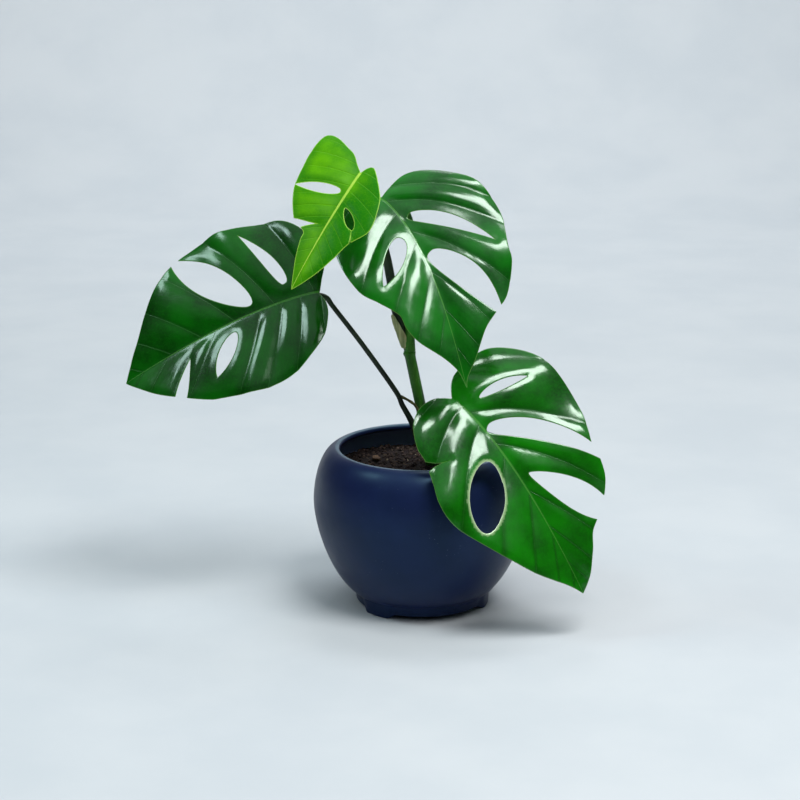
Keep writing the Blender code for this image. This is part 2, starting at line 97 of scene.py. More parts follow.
class Paint:
    def __init__(self, owner, shader="Principled BSDF", **fixed):
        self.owner = owner
        owner.use_nodes = True
        self.tree = owner.node_tree
        self.shader = self.tree.nodes[shader]
        for socket, value in fixed.items():
            self.shader.inputs[socket.replace("_", " ")].default_value = value

    def node(self, kind, settings=None, sockets=None, out=0):
        made = self.tree.nodes.new(kind)
        for key, value in (settings or {}).items():
            setattr(made, key, value)
        for key, value in (sockets or {}).items():
            socket = made.inputs[key]
            if isinstance(value, Wire):
                self.tree.links.new(value.socket, socket)
            else:
                socket.default_value = value
        return Wire(self, made.outputs[out])

    def place(self):
        return self.node("ShaderNodeTexCoord", out="Object")

    def stretched(self, x, y, z):
        return self.node("ShaderNodeVectorMath", {"operation": "MULTIPLY"}, {0: self.place(), 1: (x, y, z)})

    def noise(self, scale, detail=4.0, roughness=0.55, vector=None, distortion=0.0):
        return self.node(
            "ShaderNodeTexNoise",
            {},
            {
                "Vector": vector or self.place(),
                "Scale": scale,
                "Detail": detail,
                "Roughness": roughness,
                "Distortion": distortion,
            },
        )

    def cells(self, scale, feature="F1", vector=None):
        return self.node(
            "ShaderNodeTexVoronoi",
            {"feature": feature},
            {"Vector": vector or self.place(), "Scale": scale},
        )

    def read(self, name):
        return self.node("ShaderNodeAttribute", {"attribute_name": name}, out="Fac")

    def mix(self, factor, first, second):
        return self.node("ShaderNodeMix", {"data_type": "RGBA"}, {0: factor, 6: first, 7: second}, 2)

    def bump(self, height, distance, strength):
        return self.node("ShaderNodeBump", {}, {"Height": height, "Distance": distance, "Strength": strength})

    def finish(self, **wires):
        for socket, wire in wires.items():
            self.tree.links.new(wire.socket, self.shader.inputs[socket.replace("_", " ")])
        return self.owner


def colour(red, green, blue):
    # from screen values of 0 to 255 to the linear ones of a colour socket
    shares = [value / 255 for value in (red, green, blue)]
    return (*(share / 12.92 if share < 0.04 else ((share + 0.055) / 1.055) ** 2.4 for share in shares), 1)


def between(first, second, share):
    return tuple(a + (b - a) * share for a, b in zip(first, second))


def meshPiece(name, points, faces, materials, facesUse=None, crease=None, slot=None, node=None):
    mesh = bpy.data.meshes.new(name)
    mesh.from_pydata([tuple(p) for p in points], [], [tuple(f) for f in faces])
    mesh.validate()
    mesh.shade_smooth()
    if crease:
        mesh.set_sharp_from_angle(angle=math.radians(crease))
    for material in materials:
        mesh.materials.append(material)
    if facesUse is not None:
        mesh.polygons.foreach_set("material_index", list(facesUse))
    piece = bpy.data.objects.new(name, mesh)
    bpy.context.scene.collection.objects.link(piece)
    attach(piece, "root")
    if node:
        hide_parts(node)
    return piece


def pointValues(piece, name, values):
    layer = piece.data.attributes.new(name, "FLOAT", "POINT")
    layer.data.foreach_set("value", np.asarray(values, dtype=np.float32))


def smoothPath(points, spacing, closed=False):
    # a curve through every point; one marked sharp ends it and starts it anew
    count = len(points)
    size = 2 if closed else 3
    places = [np.array(point[:size], dtype=float) for point in points]
    corner = [closed and len(point) == 3 for point in points]
    result = []
    for i in range(count if closed else count - 1):
        start = places[i]
        end = places[(i + 1) % count]
        before = places[i - 1] if (closed or i) and not corner[i] else start
        after = places[(i + 2) % count] if (closed or i + 2 < count) and not corner[(i + 1) % count] else end
        steps = max(1, round(float(np.linalg.norm(end - start)) / spacing))
        for step in range(steps):
            t = step / steps
            result.append(
                start
                + (end - before) * (t / 2)
                + (before * 2 - start * 5 + end * 4 - after) * (t * t / 2)
                + (start * 3 - before - end * 3 + after) * (t ** 3 / 2)
            )
    if not closed:
        result.append(places[-1])
    return result


def ease(value, low, high):
    # rises smoothly from 0 at low to 1 at high
    share = np.clip((value - low) / (high - low), 0, 1)
    return share * share * (3 - 2 * share)


def sweep(path, radius, sides):
    # rings of a radius that depends on the share along and the angle, closed with domed ends
    path = [Vector(p) for p in path]
    lengths = [0.0]
    for a, b in zip(path, path[1:]):
        lengths.append(lengths[-1] + (b - a).length)
    total = lengths[-1]
    points = []
    rings = 0
    across = Vector((1, 0, 0))
    for i, centre in enumerate(path):
        forward = (path[min(i + 1, len(path) - 1)] - path[max(i - 1, 0)]).normalized()
        across = (across - forward * across.dot(forward)).normalized()
        other = forward.cross(across)
        shells = [(0.0, 1.0)]
        dome = radius(lengths[i] / total, 0.0)
        domed = [(dome * 0.15, 0.92), (dome * 0.35, 0.7), (dome * 0.45, 0.35)]
        if i == 0:
            shells = [(-shift, shrink) for shift, shrink in reversed(domed)] + shells
        if i == len(path) - 1:
            shells = shells + domed
        for shift, shrink in shells:
            for side in range(sides):
                angle = 2 * math.pi * side / sides
                reach = radius(lengths[i] / total, angle) * shrink
                way = across * math.cos(angle) + other * math.sin(angle)
                points.append(centre + forward * shift + way * reach)
            rings += 1
    faces = []
    for ring in range(rings - 1):
        for side in range(sides):
            a = ring * sides + side
            b = ring * sides + (side + 1) % sides
            faces.append((a, b, b + sides, a + sides))
    faces.append(tuple(reversed(range(sides))))
    faces.append(tuple(range((rings - 1) * sides, rings * sides)))
    return points, faces


def ballMesh(rows, columns, place):
    # a closed ball whose places come from its two angles
    points = []
    for row in range(rows + 1):
        for column in range(columns if 0 < row < rows else 1):
            points.append(place(math.pi * row / rows, 2 * math.pi * column / columns))
    faces = []
    last = 1 + (rows - 2) * columns
    for column in range(columns):
        after = (column + 1) % columns
        faces.append((0, 1 + column, 1 + after))
        for row in range(rows - 2):
            a = 1 + row * columns
            faces.append((a + column, a + columns + column, a + columns + after, a + after))
        faces.append((last + column, last + columns, last + after))
    return points, faces


view = {
    "aim": (-0.020, 0.0, 0.044),  # from the middle of the mouth
    "distance": 2.2,
    "elevation": 15,
    "lens": 108,
}


def makeCamera():
    camera = bpy.data.objects.new("camera", bpy.data.cameras.new("camera"))
    bpy.context.scene.collection.objects.link(camera)
    angle = math.radians(view["elevation"])
    back = Vector((0, -math.cos(angle), math.sin(angle)))
    camera.location = mouth + Vector(view["aim"]) + back * view["distance"]
    camera.rotation_euler = back.to_track_quat("Z", "Y").to_euler()
    camera.data.lens = view["lens"]
    camera.data.sensor_width = 36
    bpy.context.scene.camera = camera


def makeLight(name, place, size, power, tint, aim):
    lamp = bpy.data.lights.new(name, "AREA")
    lamp.shape = "RECTANGLE"
    lamp.size, lamp.size_y = size
    lamp.energy = power
    lamp.color = tint
    light = bpy.data.objects.new(name, lamp)
    light.location = mouth + Vector(place)
    light.rotation_euler = (Vector(place) - Vector(aim)).to_track_quat("Z", "Y").to_euler()
    light.visible_camera = False
    bpy.context.scene.collection.objects.link(light)


room = {
    "floorBright": colour(193, 198, 202),
    "floorDim": colour(187, 193, 198),
    "floorReach": 30.0,  # metres to each side
    "wallFoot": 1.9,  # where the floor starts to curve up
    "wallCurve": 0.8,
    "wallTop": 6.0,
    "glow": (0.9, 0.96, 1.0, 1),
    # each light's name, place from the mouth, size, watts, tint and aim
    "lights": [
        ("overheadSoft", (0.55, -0.75, 1.6), (1.0, 0.42), 28, (1.0, 0.995, 0.98), (0, 0, 0)),
        ("leftSoft", (-1.2, -0.2, 1.35), (0.6, 0.3), 8, (0.8, 0.97, 1.0), (0, 0, 0)),
        ("backSoft", (0.45, 0.8, 1.8), (1.5, 0.6), 13, (0.97, 0.99, 1.0), (0, 0, 0)),
        ("wallWash", (0.0, 1.7, 1.5), (3.0, 0.5), 25, (0.97, 0.99, 1.0), (0.0, 2.7, 0.3)),
    ],
}


def makeRoom():
    bpy.context.scene.view_settings.view_transform = "Standard"
    world = bpy.data.worlds.new("studio")
    bpy.context.scene.world = world
    sky = Paint(world, "Background", Strength=1.0)
    toward = sky.node("ShaderNodeTexCoord", out="Generated")
    depth = sky.node("ShaderNodeSeparateXYZ", {}, {0: toward}, "Y")
    height = sky.node("ShaderNodeSeparateXYZ", {}, {0: toward}, "Z")
    glow = height.smooth(0.35, 1.0, 0.03, 0.8) + depth.smooth(-0.1, 0.7, 0.0, 0.35)  # dim in front
    sky.finish(Color=sky.mix(glow, (0, 0, 0, 1), room["glow"]))
    for light in room["lights"]:
        makeLight(*light)

    floor = Paint(bpy.data.materials.new("paleFloor"), Roughness=0.85)
    mottle = floor.noise(6.0, 5)
    shade = floor.mix(mottle.smooth(0.3, 0.7), room["floorDim"], room["floorBright"])
    wide, foot, curve = room["floorReach"], room["wallFoot"], room["wallCurve"]
    bend = np.linspace(0.1, math.pi / 2, 14)
    rise = [(foot + curve * math.sin(a), curve - curve * math.cos(a)) for a in bend]
    depth = [(-wide, 0.0), (foot, 0.0), *rise, (foot + curve, room["wallTop"])]
    points = [(x, y, z) for y, z in depth for x in (-wide, wide)]
    faces = [(2 * i, 2 * i + 1, 2 * i + 3, 2 * i + 2) for i in range(len(depth) - 1)]
    mesh = bpy.data.meshes.new("floor")
    mesh.from_pydata(points, [], faces)
    mesh.shade_smooth()
    mesh.materials.append(floor.finish(Base_Color=shade))
    backdrop = bpy.data.objects.new("floor", mesh)
    bpy.context.scene.collection.objects.link(backdrop)


makeCamera()
makeRoom()
print("camera, light and floor made")


pot = {
    "height": potHigh.z,
    "belly": 98 * mm,
    "radius": (potHigh.x - potLow.x) / 2,
    "rim": 78 * mm,
    "base": 61 * mm,
    "baseTop": 14 * mm,
    "wall": 5.5 * mm,
    "floor": 7 * mm,
    "drain": 8 * mm,
    "foot": 4 * mm,
    "footStep": 2 * mm,
    "footAngles": (-132, -12, 108),
    "footSpread": 15,
    "footSoft": 4.5,
    "footFade": 7 * mm,
    "fillet": 16,  # a higher power makes a tighter corner above the base
    "boxy": 1.55,  # 2 gives a round bowl, more a fuller one
    "around": 288,
    "wobble": 0.25 * mm,
    "rimThin": (1, 0.7, 0.2),  # thin glaze on the first rows below the lip
    "lipAngles": (235, 210, 190, 172, 155, 138, 120, 104),
    # the base's side: share of the drop, share of the foot
    "side": [(0.2, 0.65), (0.45, 0.85), (0.7, 0.97), (0.88, 1), (0.96, 1)],
    # the underside in mm: in from the base, up from the feet, then share of the foot and thin glaze
    "sole": [
        (1.2, 0.1, 1, 0.5), (2.4, 0, 1, 0.8), (6, 0, 1, 0.5), (9.5, 0.1, 1, 0.5), (11, 0.4, 0.9, 0.5),
        (12.5, 1, 0.2, 0.4), (14, 1, 0, 0.3),
    ],
    # the drain's edge in mm: out from the hole, up from the feet, then thin glaze
    "drainEdge": [(2, 0.8, 0.3), (0.6, 1.1, 0.4), (0, 2, 0.4)],
    "glaze": (colour(18, 25, 60), colour(24, 33, 74)),
    "streak": colour(20, 36, 66),
    # painted light: a much lighter inner wall, so the inside of the pot, which the lamps hardly reach, reads as
    # lit
    "inside": colour(140, 158, 204),
    "thinGlaze": colour(96, 116, 132),
    "speck": colour(110, 120, 140),
    "sheen": (0.45, 0.85, 1.0, 1),
}


def glazePaint():
    glaze = Paint(bpy.data.materials.new("navyGlaze"), Specular_IOR_Level=0.24, Specular_Tint=pot["sheen"])
    cloud = glaze.noise(14, 5, 0.6)
    streak = glaze.noise(9, 3, vector=glaze.stretched(1, 1, 0.25))
    deep = glaze.mix(cloud.smooth(0.3, 0.7), *pot["glaze"])
    deep = glaze.mix(streak.smooth(0.35, 0.75) * 0.4, deep, pot["streak"])
    # painted light on the inner wall, lifting the dark inside of the pot
    deep = glaze.mix(glaze.read("innerWall") * 0.9, deep, pot["inside"])
    deep = glaze.mix(glaze.read("thinGlaze").smooth(0.1, 1.0) * 0.8, deep, pot["thinGlaze"])
    speck = glaze.cells(230).smooth(0.10, 0.05) * glaze.noise(31, 2).smooth(0.52, 0.62)
    deep = glaze.mix(speck * 0.5, deep, pot["speck"])
    relief = glaze.noise(60, 3) * 0.4 + glaze.noise(7, 2) * 2
    return glaze.finish(
        Base_Color=deep,
        Roughness=glaze.noise(40, 4).smooth(0.3, 0.7, 0.33, 0.42) + speck * 0.3,
        Normal=glaze.bump(relief, 0.0005, 0.4),
    )


def potWall(inset, top, steps):
    # radius and height from the top down to the base
    width = pot["radius"] - pot["rim"] - inset
    rise = pot["height"] - pot["belly"] - inset
    bowlWidth = pot["radius"] - pot["base"] - inset
    bowlDrop = pot["belly"] - pot["baseTop"] - inset
    power = 2 / pot["boxy"]
    highest = math.asin(min(1, (top - pot["belly"]) / rise))
    profile = []
    for i in range(steps):
        angle = highest * (1 - i / steps)
        profile.append((pot["rim"] + width * math.cos(angle), pot["belly"] + rise * math.sin(angle)))
    for i in range(steps + 1):
        angle = math.pi / 2 * i / steps
        profile.append((
            pot["base"] + bowlWidth * max(0, math.cos(angle)) ** power,
            pot["belly"] - bowlDrop * math.sin(angle) ** power,
        ))
    return profile


def potProfile():
    # from the rim down and back up inside: radius, height, share of the foot, thin glaze, inner wall
    base, foot, floorTop = pot["base"], pot["foot"], pot["foot"] + pot["floor"]
    fillet = pot["fillet"]
    profile = []
    for r, z in potWall(0, pot["height"], 30):
        eased = (r ** fillet + base ** fillet) ** (1 / fillet) if z < pot["belly"] else r
        reach = float(1 - ease(z, pot["baseTop"], pot["baseTop"] + pot["footFade"])) * 0.5
        profile.append((eased, z, reach, 0, 0))
    for i, thin in enumerate(pot["rimThin"]):
        profile[i] = (*profile[i][:3], thin, 0)
    shelf = profile[-1][0] - base
    for drop, reach in pot["side"]:
        wide = base + shelf * (1 - drop) ** 2 - 0.3 * mm * drop
        profile.append((wide, pot["baseTop"] + (foot - pot["baseTop"]) * drop, reach, 0.1 * drop, 0))
    for inset, rise, reach, thin in pot["sole"]:
        profile.append((base - inset * mm, foot + rise * mm, reach, thin, 0))
    for out, rise, thin in pot["drainEdge"]:
        profile.append((pot["drain"] + out * mm, foot + rise * mm, 0, thin, 0))
    profile += [(pot["drain"], floorTop, 0, 0, 1), (base - pot["wall"], floorTop, 0, 0, 1)]
    profile += [(r, z, 0, 0, 1) for r, z in reversed(potWall(pot["wall"], pot["height"] - pot["wall"], 22))]
    lip = pot["wall"] / 2
    for angle in pot["lipAngles"]:
        turn = math.radians(angle)
        thin = 1 if angle < 130 else 0.15
        height = pot["height"] - lip + lip * math.sin(turn)
        profile.append((pot["rim"] + lip * math.cos(turn), height, 0, thin, 0))
    return profile


def makePot():
    profile = potProfile()
    base, foot = pot["base"], pot["foot"]
    inner, outer = pot["footSpread"] - pot["footSoft"], pot["footSpread"] + pot["footSoft"]
    count = pot["around"]
    points, thinGlaze, innerWall = [], [], []
    for r, z, reach, thin, within in profile:
        for i in range(count):
            angle = 2 * math.pi * i / count
            near = min(abs((math.degrees(angle) - a + 180) % 360 - 180) for a in pot["footAngles"])
            onFoot = float(1 - ease(near, inner, outer)) * reach
            wobble = pot["wobble"] * noise.noise(Vector((math.cos(angle) * 1.3, math.sin(angle) * 1.3, z * 14)))
            radius = r + (onFoot * pot["footStep"] if r > base - 3 * mm else 0) + wobble * min(1, r / base)
            height = z - onFoot * foot if z < foot + 1.5 * mm else z
            x, y = radius * math.cos(angle), radius * math.sin(angle)
            points.append((mouth.x + x, mouth.y + y, max(height, 0)))
            thinGlaze.append(thin)
            innerWall.append(within)
    faces = []
    rows = len(profile)
    for row in range(rows):
        for i in range(count):
            a = row * count + i
            b = row * count + (i + 1) % count
            c = (row + 1) % rows * count + (i + 1) % count
            d = (row + 1) % rows * count + i
            faces.append((a, d, c, b))
    piece = meshPiece("potBowl", points, faces, [glazePaint()], crease=50, slot="navy_glaze", node="pot")
    pointValues(piece, "thinGlaze", thinGlaze)
    pointValues(piece, "innerWall", innerWall)


makePot()
print("pot made")


soil = {
    "level": pot["height"] - 24 * mm,
    "crown": 3 * mm,
    "rings": 84,
    "around": 240,
    "crumbs": 2300,
    "pale": 40,
    "fibres": 16,
    "chips": 5,
    "seed": 7,
    "crumbSizes": (0.5 * mm, 2.3 * mm),
    "paleSizes": (0.5 * mm, 1.5 * mm),
    "crumbRough": 0.6,
    "fibreStep": 0.9 * mm,
    "fibreThick": 0.32 * mm,
    "heap": 3.2 * mm,  # round the foot of the stem
    "heapPlace": 10 * mm,
    "heapWidth": 17 * mm,
    "bed": {"relief": 0.0014, "dark": colour(20, 15, 17), "light": colour(46, 37, 38)},
    "crumb": {"relief": 0.0004, "dark": colour(24, 18, 19), "light": colour(56, 45, 44)},
    "rusty": colour(38, 27, 22),
    "thread": colour(96, 80, 66),
    "dry": colour(96, 80, 72),
    "paleCrumb": (colour(168, 154, 132), colour(112, 96, 78)),
    "deadRoot": (colour(126, 104, 80), colour(74, 56, 42)),
    "flake": (colour(120, 92, 68), colour(58, 38, 26)),
}


def soilRadius():
    height = soil["level"]
    rise = pot["height"] - pot["belly"] - pot["wall"]
    angle = math.asin((height - pot["belly"]) / rise)
    return pot["rim"] + (pot["radius"] - pot["rim"] - pot["wall"]) * math.cos(angle) - 0.3 * mm


def soilHeight(x, y):
    # x and y from the middle of the pot
    edge = soilRadius()
    share = min(1, math.hypot(x, y) / edge)
    lump = noise.fractal(Vector((x * 45, y * 45, 3.1)), 0.8, 2.1, 4) * 1.6 * mm
    lump += abs(noise.noise(Vector((x * 260, y * 260, 1.7)))) * 1.5 * mm
    lump += abs(noise.noise(Vector((x * 620, y * 620, 9.2)))) * 0.7 * mm
    heap = soil["heap"] * math.exp(-((x - soil["heapPlace"]) ** 2 + y ** 2) / soil["heapWidth"] ** 2)
    return soil["level"] + soil["crown"] * (1 - share * share) + lump + heap - 1.2 * mm * share ** 6


def soilPaint(name, kind):
    earth = Paint(bpy.data.materials.new(name), Specular_IOR_Level=0.2)
    grain = earth.noise(160, 8, 0.7)
    clod = earth.noise(75, 3, 0.6, distortion=1.2)
    tone = earth.mix(grain.smooth(0.32, 0.7), kind["dark"], kind["light"])
    tone = earth.mix(earth.noise(28, 3).smooth(0.45, 0.7) * 0.5, tone, soil["rusty"])
    fibre = earth.noise(330, 2, vector=earth.stretched(0.25, 1, 1)).smooth(0.66, 0.74)
    tone = earth.mix(fibre * 0.3, tone, soil["thread"])
    tone = earth.mix(earth.read("crumbTone") * 0.7, tone, soil["dry"])
    return earth.finish(
        Base_Color=tone,
        Roughness=grain.smooth(0.3, 0.7, 0.8, 1.0),
        Normal=earth.bump(grain + clod * 0.7, kind["relief"], 0.9),
    )


def makeSoil(paint):
    edge = soilRadius()
    bottom = pot["foot"] + pot["floor"] + 0.3 * mm
    points = [(mouth.x, mouth.y, soilHeight(0, 0))]
    around = soil["around"]
    for ring in range(1, soil["rings"] + 1):
        reach = edge * ring / soil["rings"]
        for i in range(around):
            x = reach * math.cos(2 * math.pi * i / around)
            y = reach * math.sin(2 * math.pi * i / around)
            points.append((mouth.x + x, mouth.y + y, soilHeight(x, y)))
    faces = [(0, 1 + i, 1 + (i + 1) % around) for i in range(around)]
    inset = pot["wall"] + 0.3 * mm
    lower = [*potWall(inset, soil["level"] - 2 * mm, 8), (pot["base"] - inset, bottom), (2 * mm, bottom)]
    for r, z in lower:
        for i in range(around):
            angle = 2 * math.pi * i / around
            points.append((mouth.x + r * math.cos(angle), mouth.y + r * math.sin(angle), z))
    for ring in range(soil["rings"] + len(lower) - 1):
        for i in range(around):
            a = 1 + ring * around + i
            b = 1 + ring * around + (i + 1) % around
            faces.append((a, a + around, b + around, b))
    last = 1 + (soil["rings"] + len(lower) - 1) * around
    faces.append(tuple(reversed(range(last, last + around))))
    meshPiece("soilBed", points, faces, [paint], slot="potting_soil", node="soil")


def scatterCrumbs(name, count, sizes, flat, paint, seed, slotName):
    dice = random.Random(seed)
    points, faces, tones = [], [], []
    for i in range(count):
        reach = soilRadius() * 0.97 * math.sqrt(dice.random())
        angle = dice.uniform(0, 2 * math.pi)
        x, y = reach * math.cos(angle), reach * math.sin(angle)
        size = sizes[0] + (sizes[1] - sizes[0]) * dice.random() ** 2
        centre = Vector((mouth.x + x, mouth.y + y, soilHeight(x, y) + size * flat * 0.3))
        turn = Matrix.Rotation(dice.uniform(0, 6.28), 3, "Z")
        turn = turn @ Matrix.Rotation(dice.uniform(-0.5, 0.5), 3, "X")

        def crumbPlace(polar, around):
            ring = math.sin(polar)
            shape = Vector((ring * math.cos(around), ring * math.sin(around) * 0.75, math.cos(polar) * flat))
            rough = 1 + soil["crumbRough"] * noise.noise(shape * 1.9 + Vector((i * 1.37, i * 0.41, 0)))
            return centre + turn @ (shape * size * rough)

        more, use = ballMesh(5, 7, crumbPlace)
        faces += [tuple(index + len(points) for index in face) for face in use]
        points += more
        tones += [dice.random() ** 3] * len(more)
    node = "soil" if slotName == "potting_soil" else None
    piece = meshPiece(name, points, faces, [paint], crease=28, slot=slotName, node=node)
    pointValues(piece, "crumbTone", tones)


def barkPaint(name, pale, dark):
    bark = Paint(bpy.data.materials.new(name), Specular_IOR_Level=0.3)
    layer = bark.noise(120, 6, 0.65, vector=bark.stretched(0.3, 1, 2.5))
    tone = bark.mix(layer.smooth(0.3, 0.68), dark, pale)
    return bark.finish(
        Base_Color=tone,
        Roughness=layer.smooth(0.3, 0.7, 0.7, 0.95),
        Normal=bark.bump(layer, 0.0008, 0.8),
    )


def makeFibres(paint):
    # thin dead roots lying on the soil
    dice = random.Random(soil["seed"] + 9)
    points, faces = [], []
    for _ in range(soil["fibres"]):
        reach = soilRadius() * dice.uniform(0.2, 0.85)
        place, turn = dice.uniform(0, 6.28), dice.uniform(0, 6.28)
        x, y = reach * math.cos(place), reach * math.sin(place)
        path = []
        for _ in range(dice.randint(12, 24)):
            path.append((mouth.x + x, mouth.y + y, soilHeight(x, y) + 0.5 * mm))
            turn += dice.uniform(-0.35, 0.35)
            x += soil["fibreStep"] * math.cos(turn)
            y += soil["fibreStep"] * math.sin(turn)
            if math.hypot(x, y) > soilRadius() * 0.93:
                break
        if len(path) > 4:
            path = smoothPath(path[::2], 0.8 * mm)
            more, use = sweep(path, lambda share, angle: soil["fibreThick"] * (1 - 0.6 * share), 6)
            faces += [tuple(index + len(points) for index in face) for face in use]
            points += more
    meshPiece("soilFibres", points, faces, [paint], slot="bark")


flakes = {
    "sides": 7,
    "gaps": (0.72, 0.95),  # from the middle to each broken side, as a share of the box
    "sheets": 3.5,  # how many thin sheets the sides split into
    "split": 0.3,
    "chipped": 0.12,
}


def makeChips(paint):
    # broken flakes of bark that stand for the plain ones, each in its own node's box
    for number in range(1, soil["chips"] + 1):
        node = f"bark_chip_{number}"
        low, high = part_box(node)
        middle = (Vector(low) + Vector(high)) / 2
        half = (Vector(high) - Vector(low)) / 2
        dice = random.Random(soil["seed"] + number)
        cuts = [(Vector((0.15, 0.1, 1)).normalized(), 0.8), (Vector((0.1, -0.2, -1)).normalized(), 0.8)]
        for side in range(flakes["sides"]):
            angle = 2 * math.pi * (side + dice.uniform(-0.3, 0.3)) / flakes["sides"]
            cut = Vector((math.cos(angle), math.sin(angle), dice.uniform(-0.5, 0.5))).normalized()
            cuts.append((cut, dice.uniform(*flakes["gaps"])))

        def flakePlace(polar, around):
            ring = math.sin(polar)
            way = Vector((ring * math.cos(around), ring * math.sin(around), math.cos(polar)))
            reach = min(gap / way.dot(cut) for cut, gap in cuts if way.dot(cut) > 0.05)
            layer = round(way.z * reach * flakes["sheets"])
            reach *= 1 - flakes["split"] * abs(noise.noise(Vector((number * 2.7, layer * 1.9, around * 0.6))))
            reach *= 1 - flakes["chipped"] * abs(noise.noise(way * 5 + Vector((number, 0, 0))))
            return middle + Vector(max(-1, min(1, way[k] * reach)) * half[k] for k in range(3))

        points, faces = ballMesh(30, 48, flakePlace)
        meshPiece(f"barkFlake{number}", points, faces, [paint], crease=30, slot="bark", node=node)


earthPaint = soilPaint("pottingSoil", soil["bed"])
crumbPaint = soilPaint("soilCrumb", soil["crumb"])
palePaint = barkPaint("paleCrumb", *soil["paleCrumb"])
makeSoil(earthPaint)
scatterCrumbs("soilCrumbs", soil["crumbs"], soil["crumbSizes"], 0.8, crumbPaint, soil["seed"], "potting_soil")
scatterCrumbs("paleCrumbs", soil["pale"], soil["paleSizes"], 0.7, palePaint, soil["seed"] + 4, "bark")
makeFibres(barkPaint("deadRoot", *soil["deadRoot"]))
makeChips(barkPaint("barkFlake", *soil["flake"]))
print("soil made")


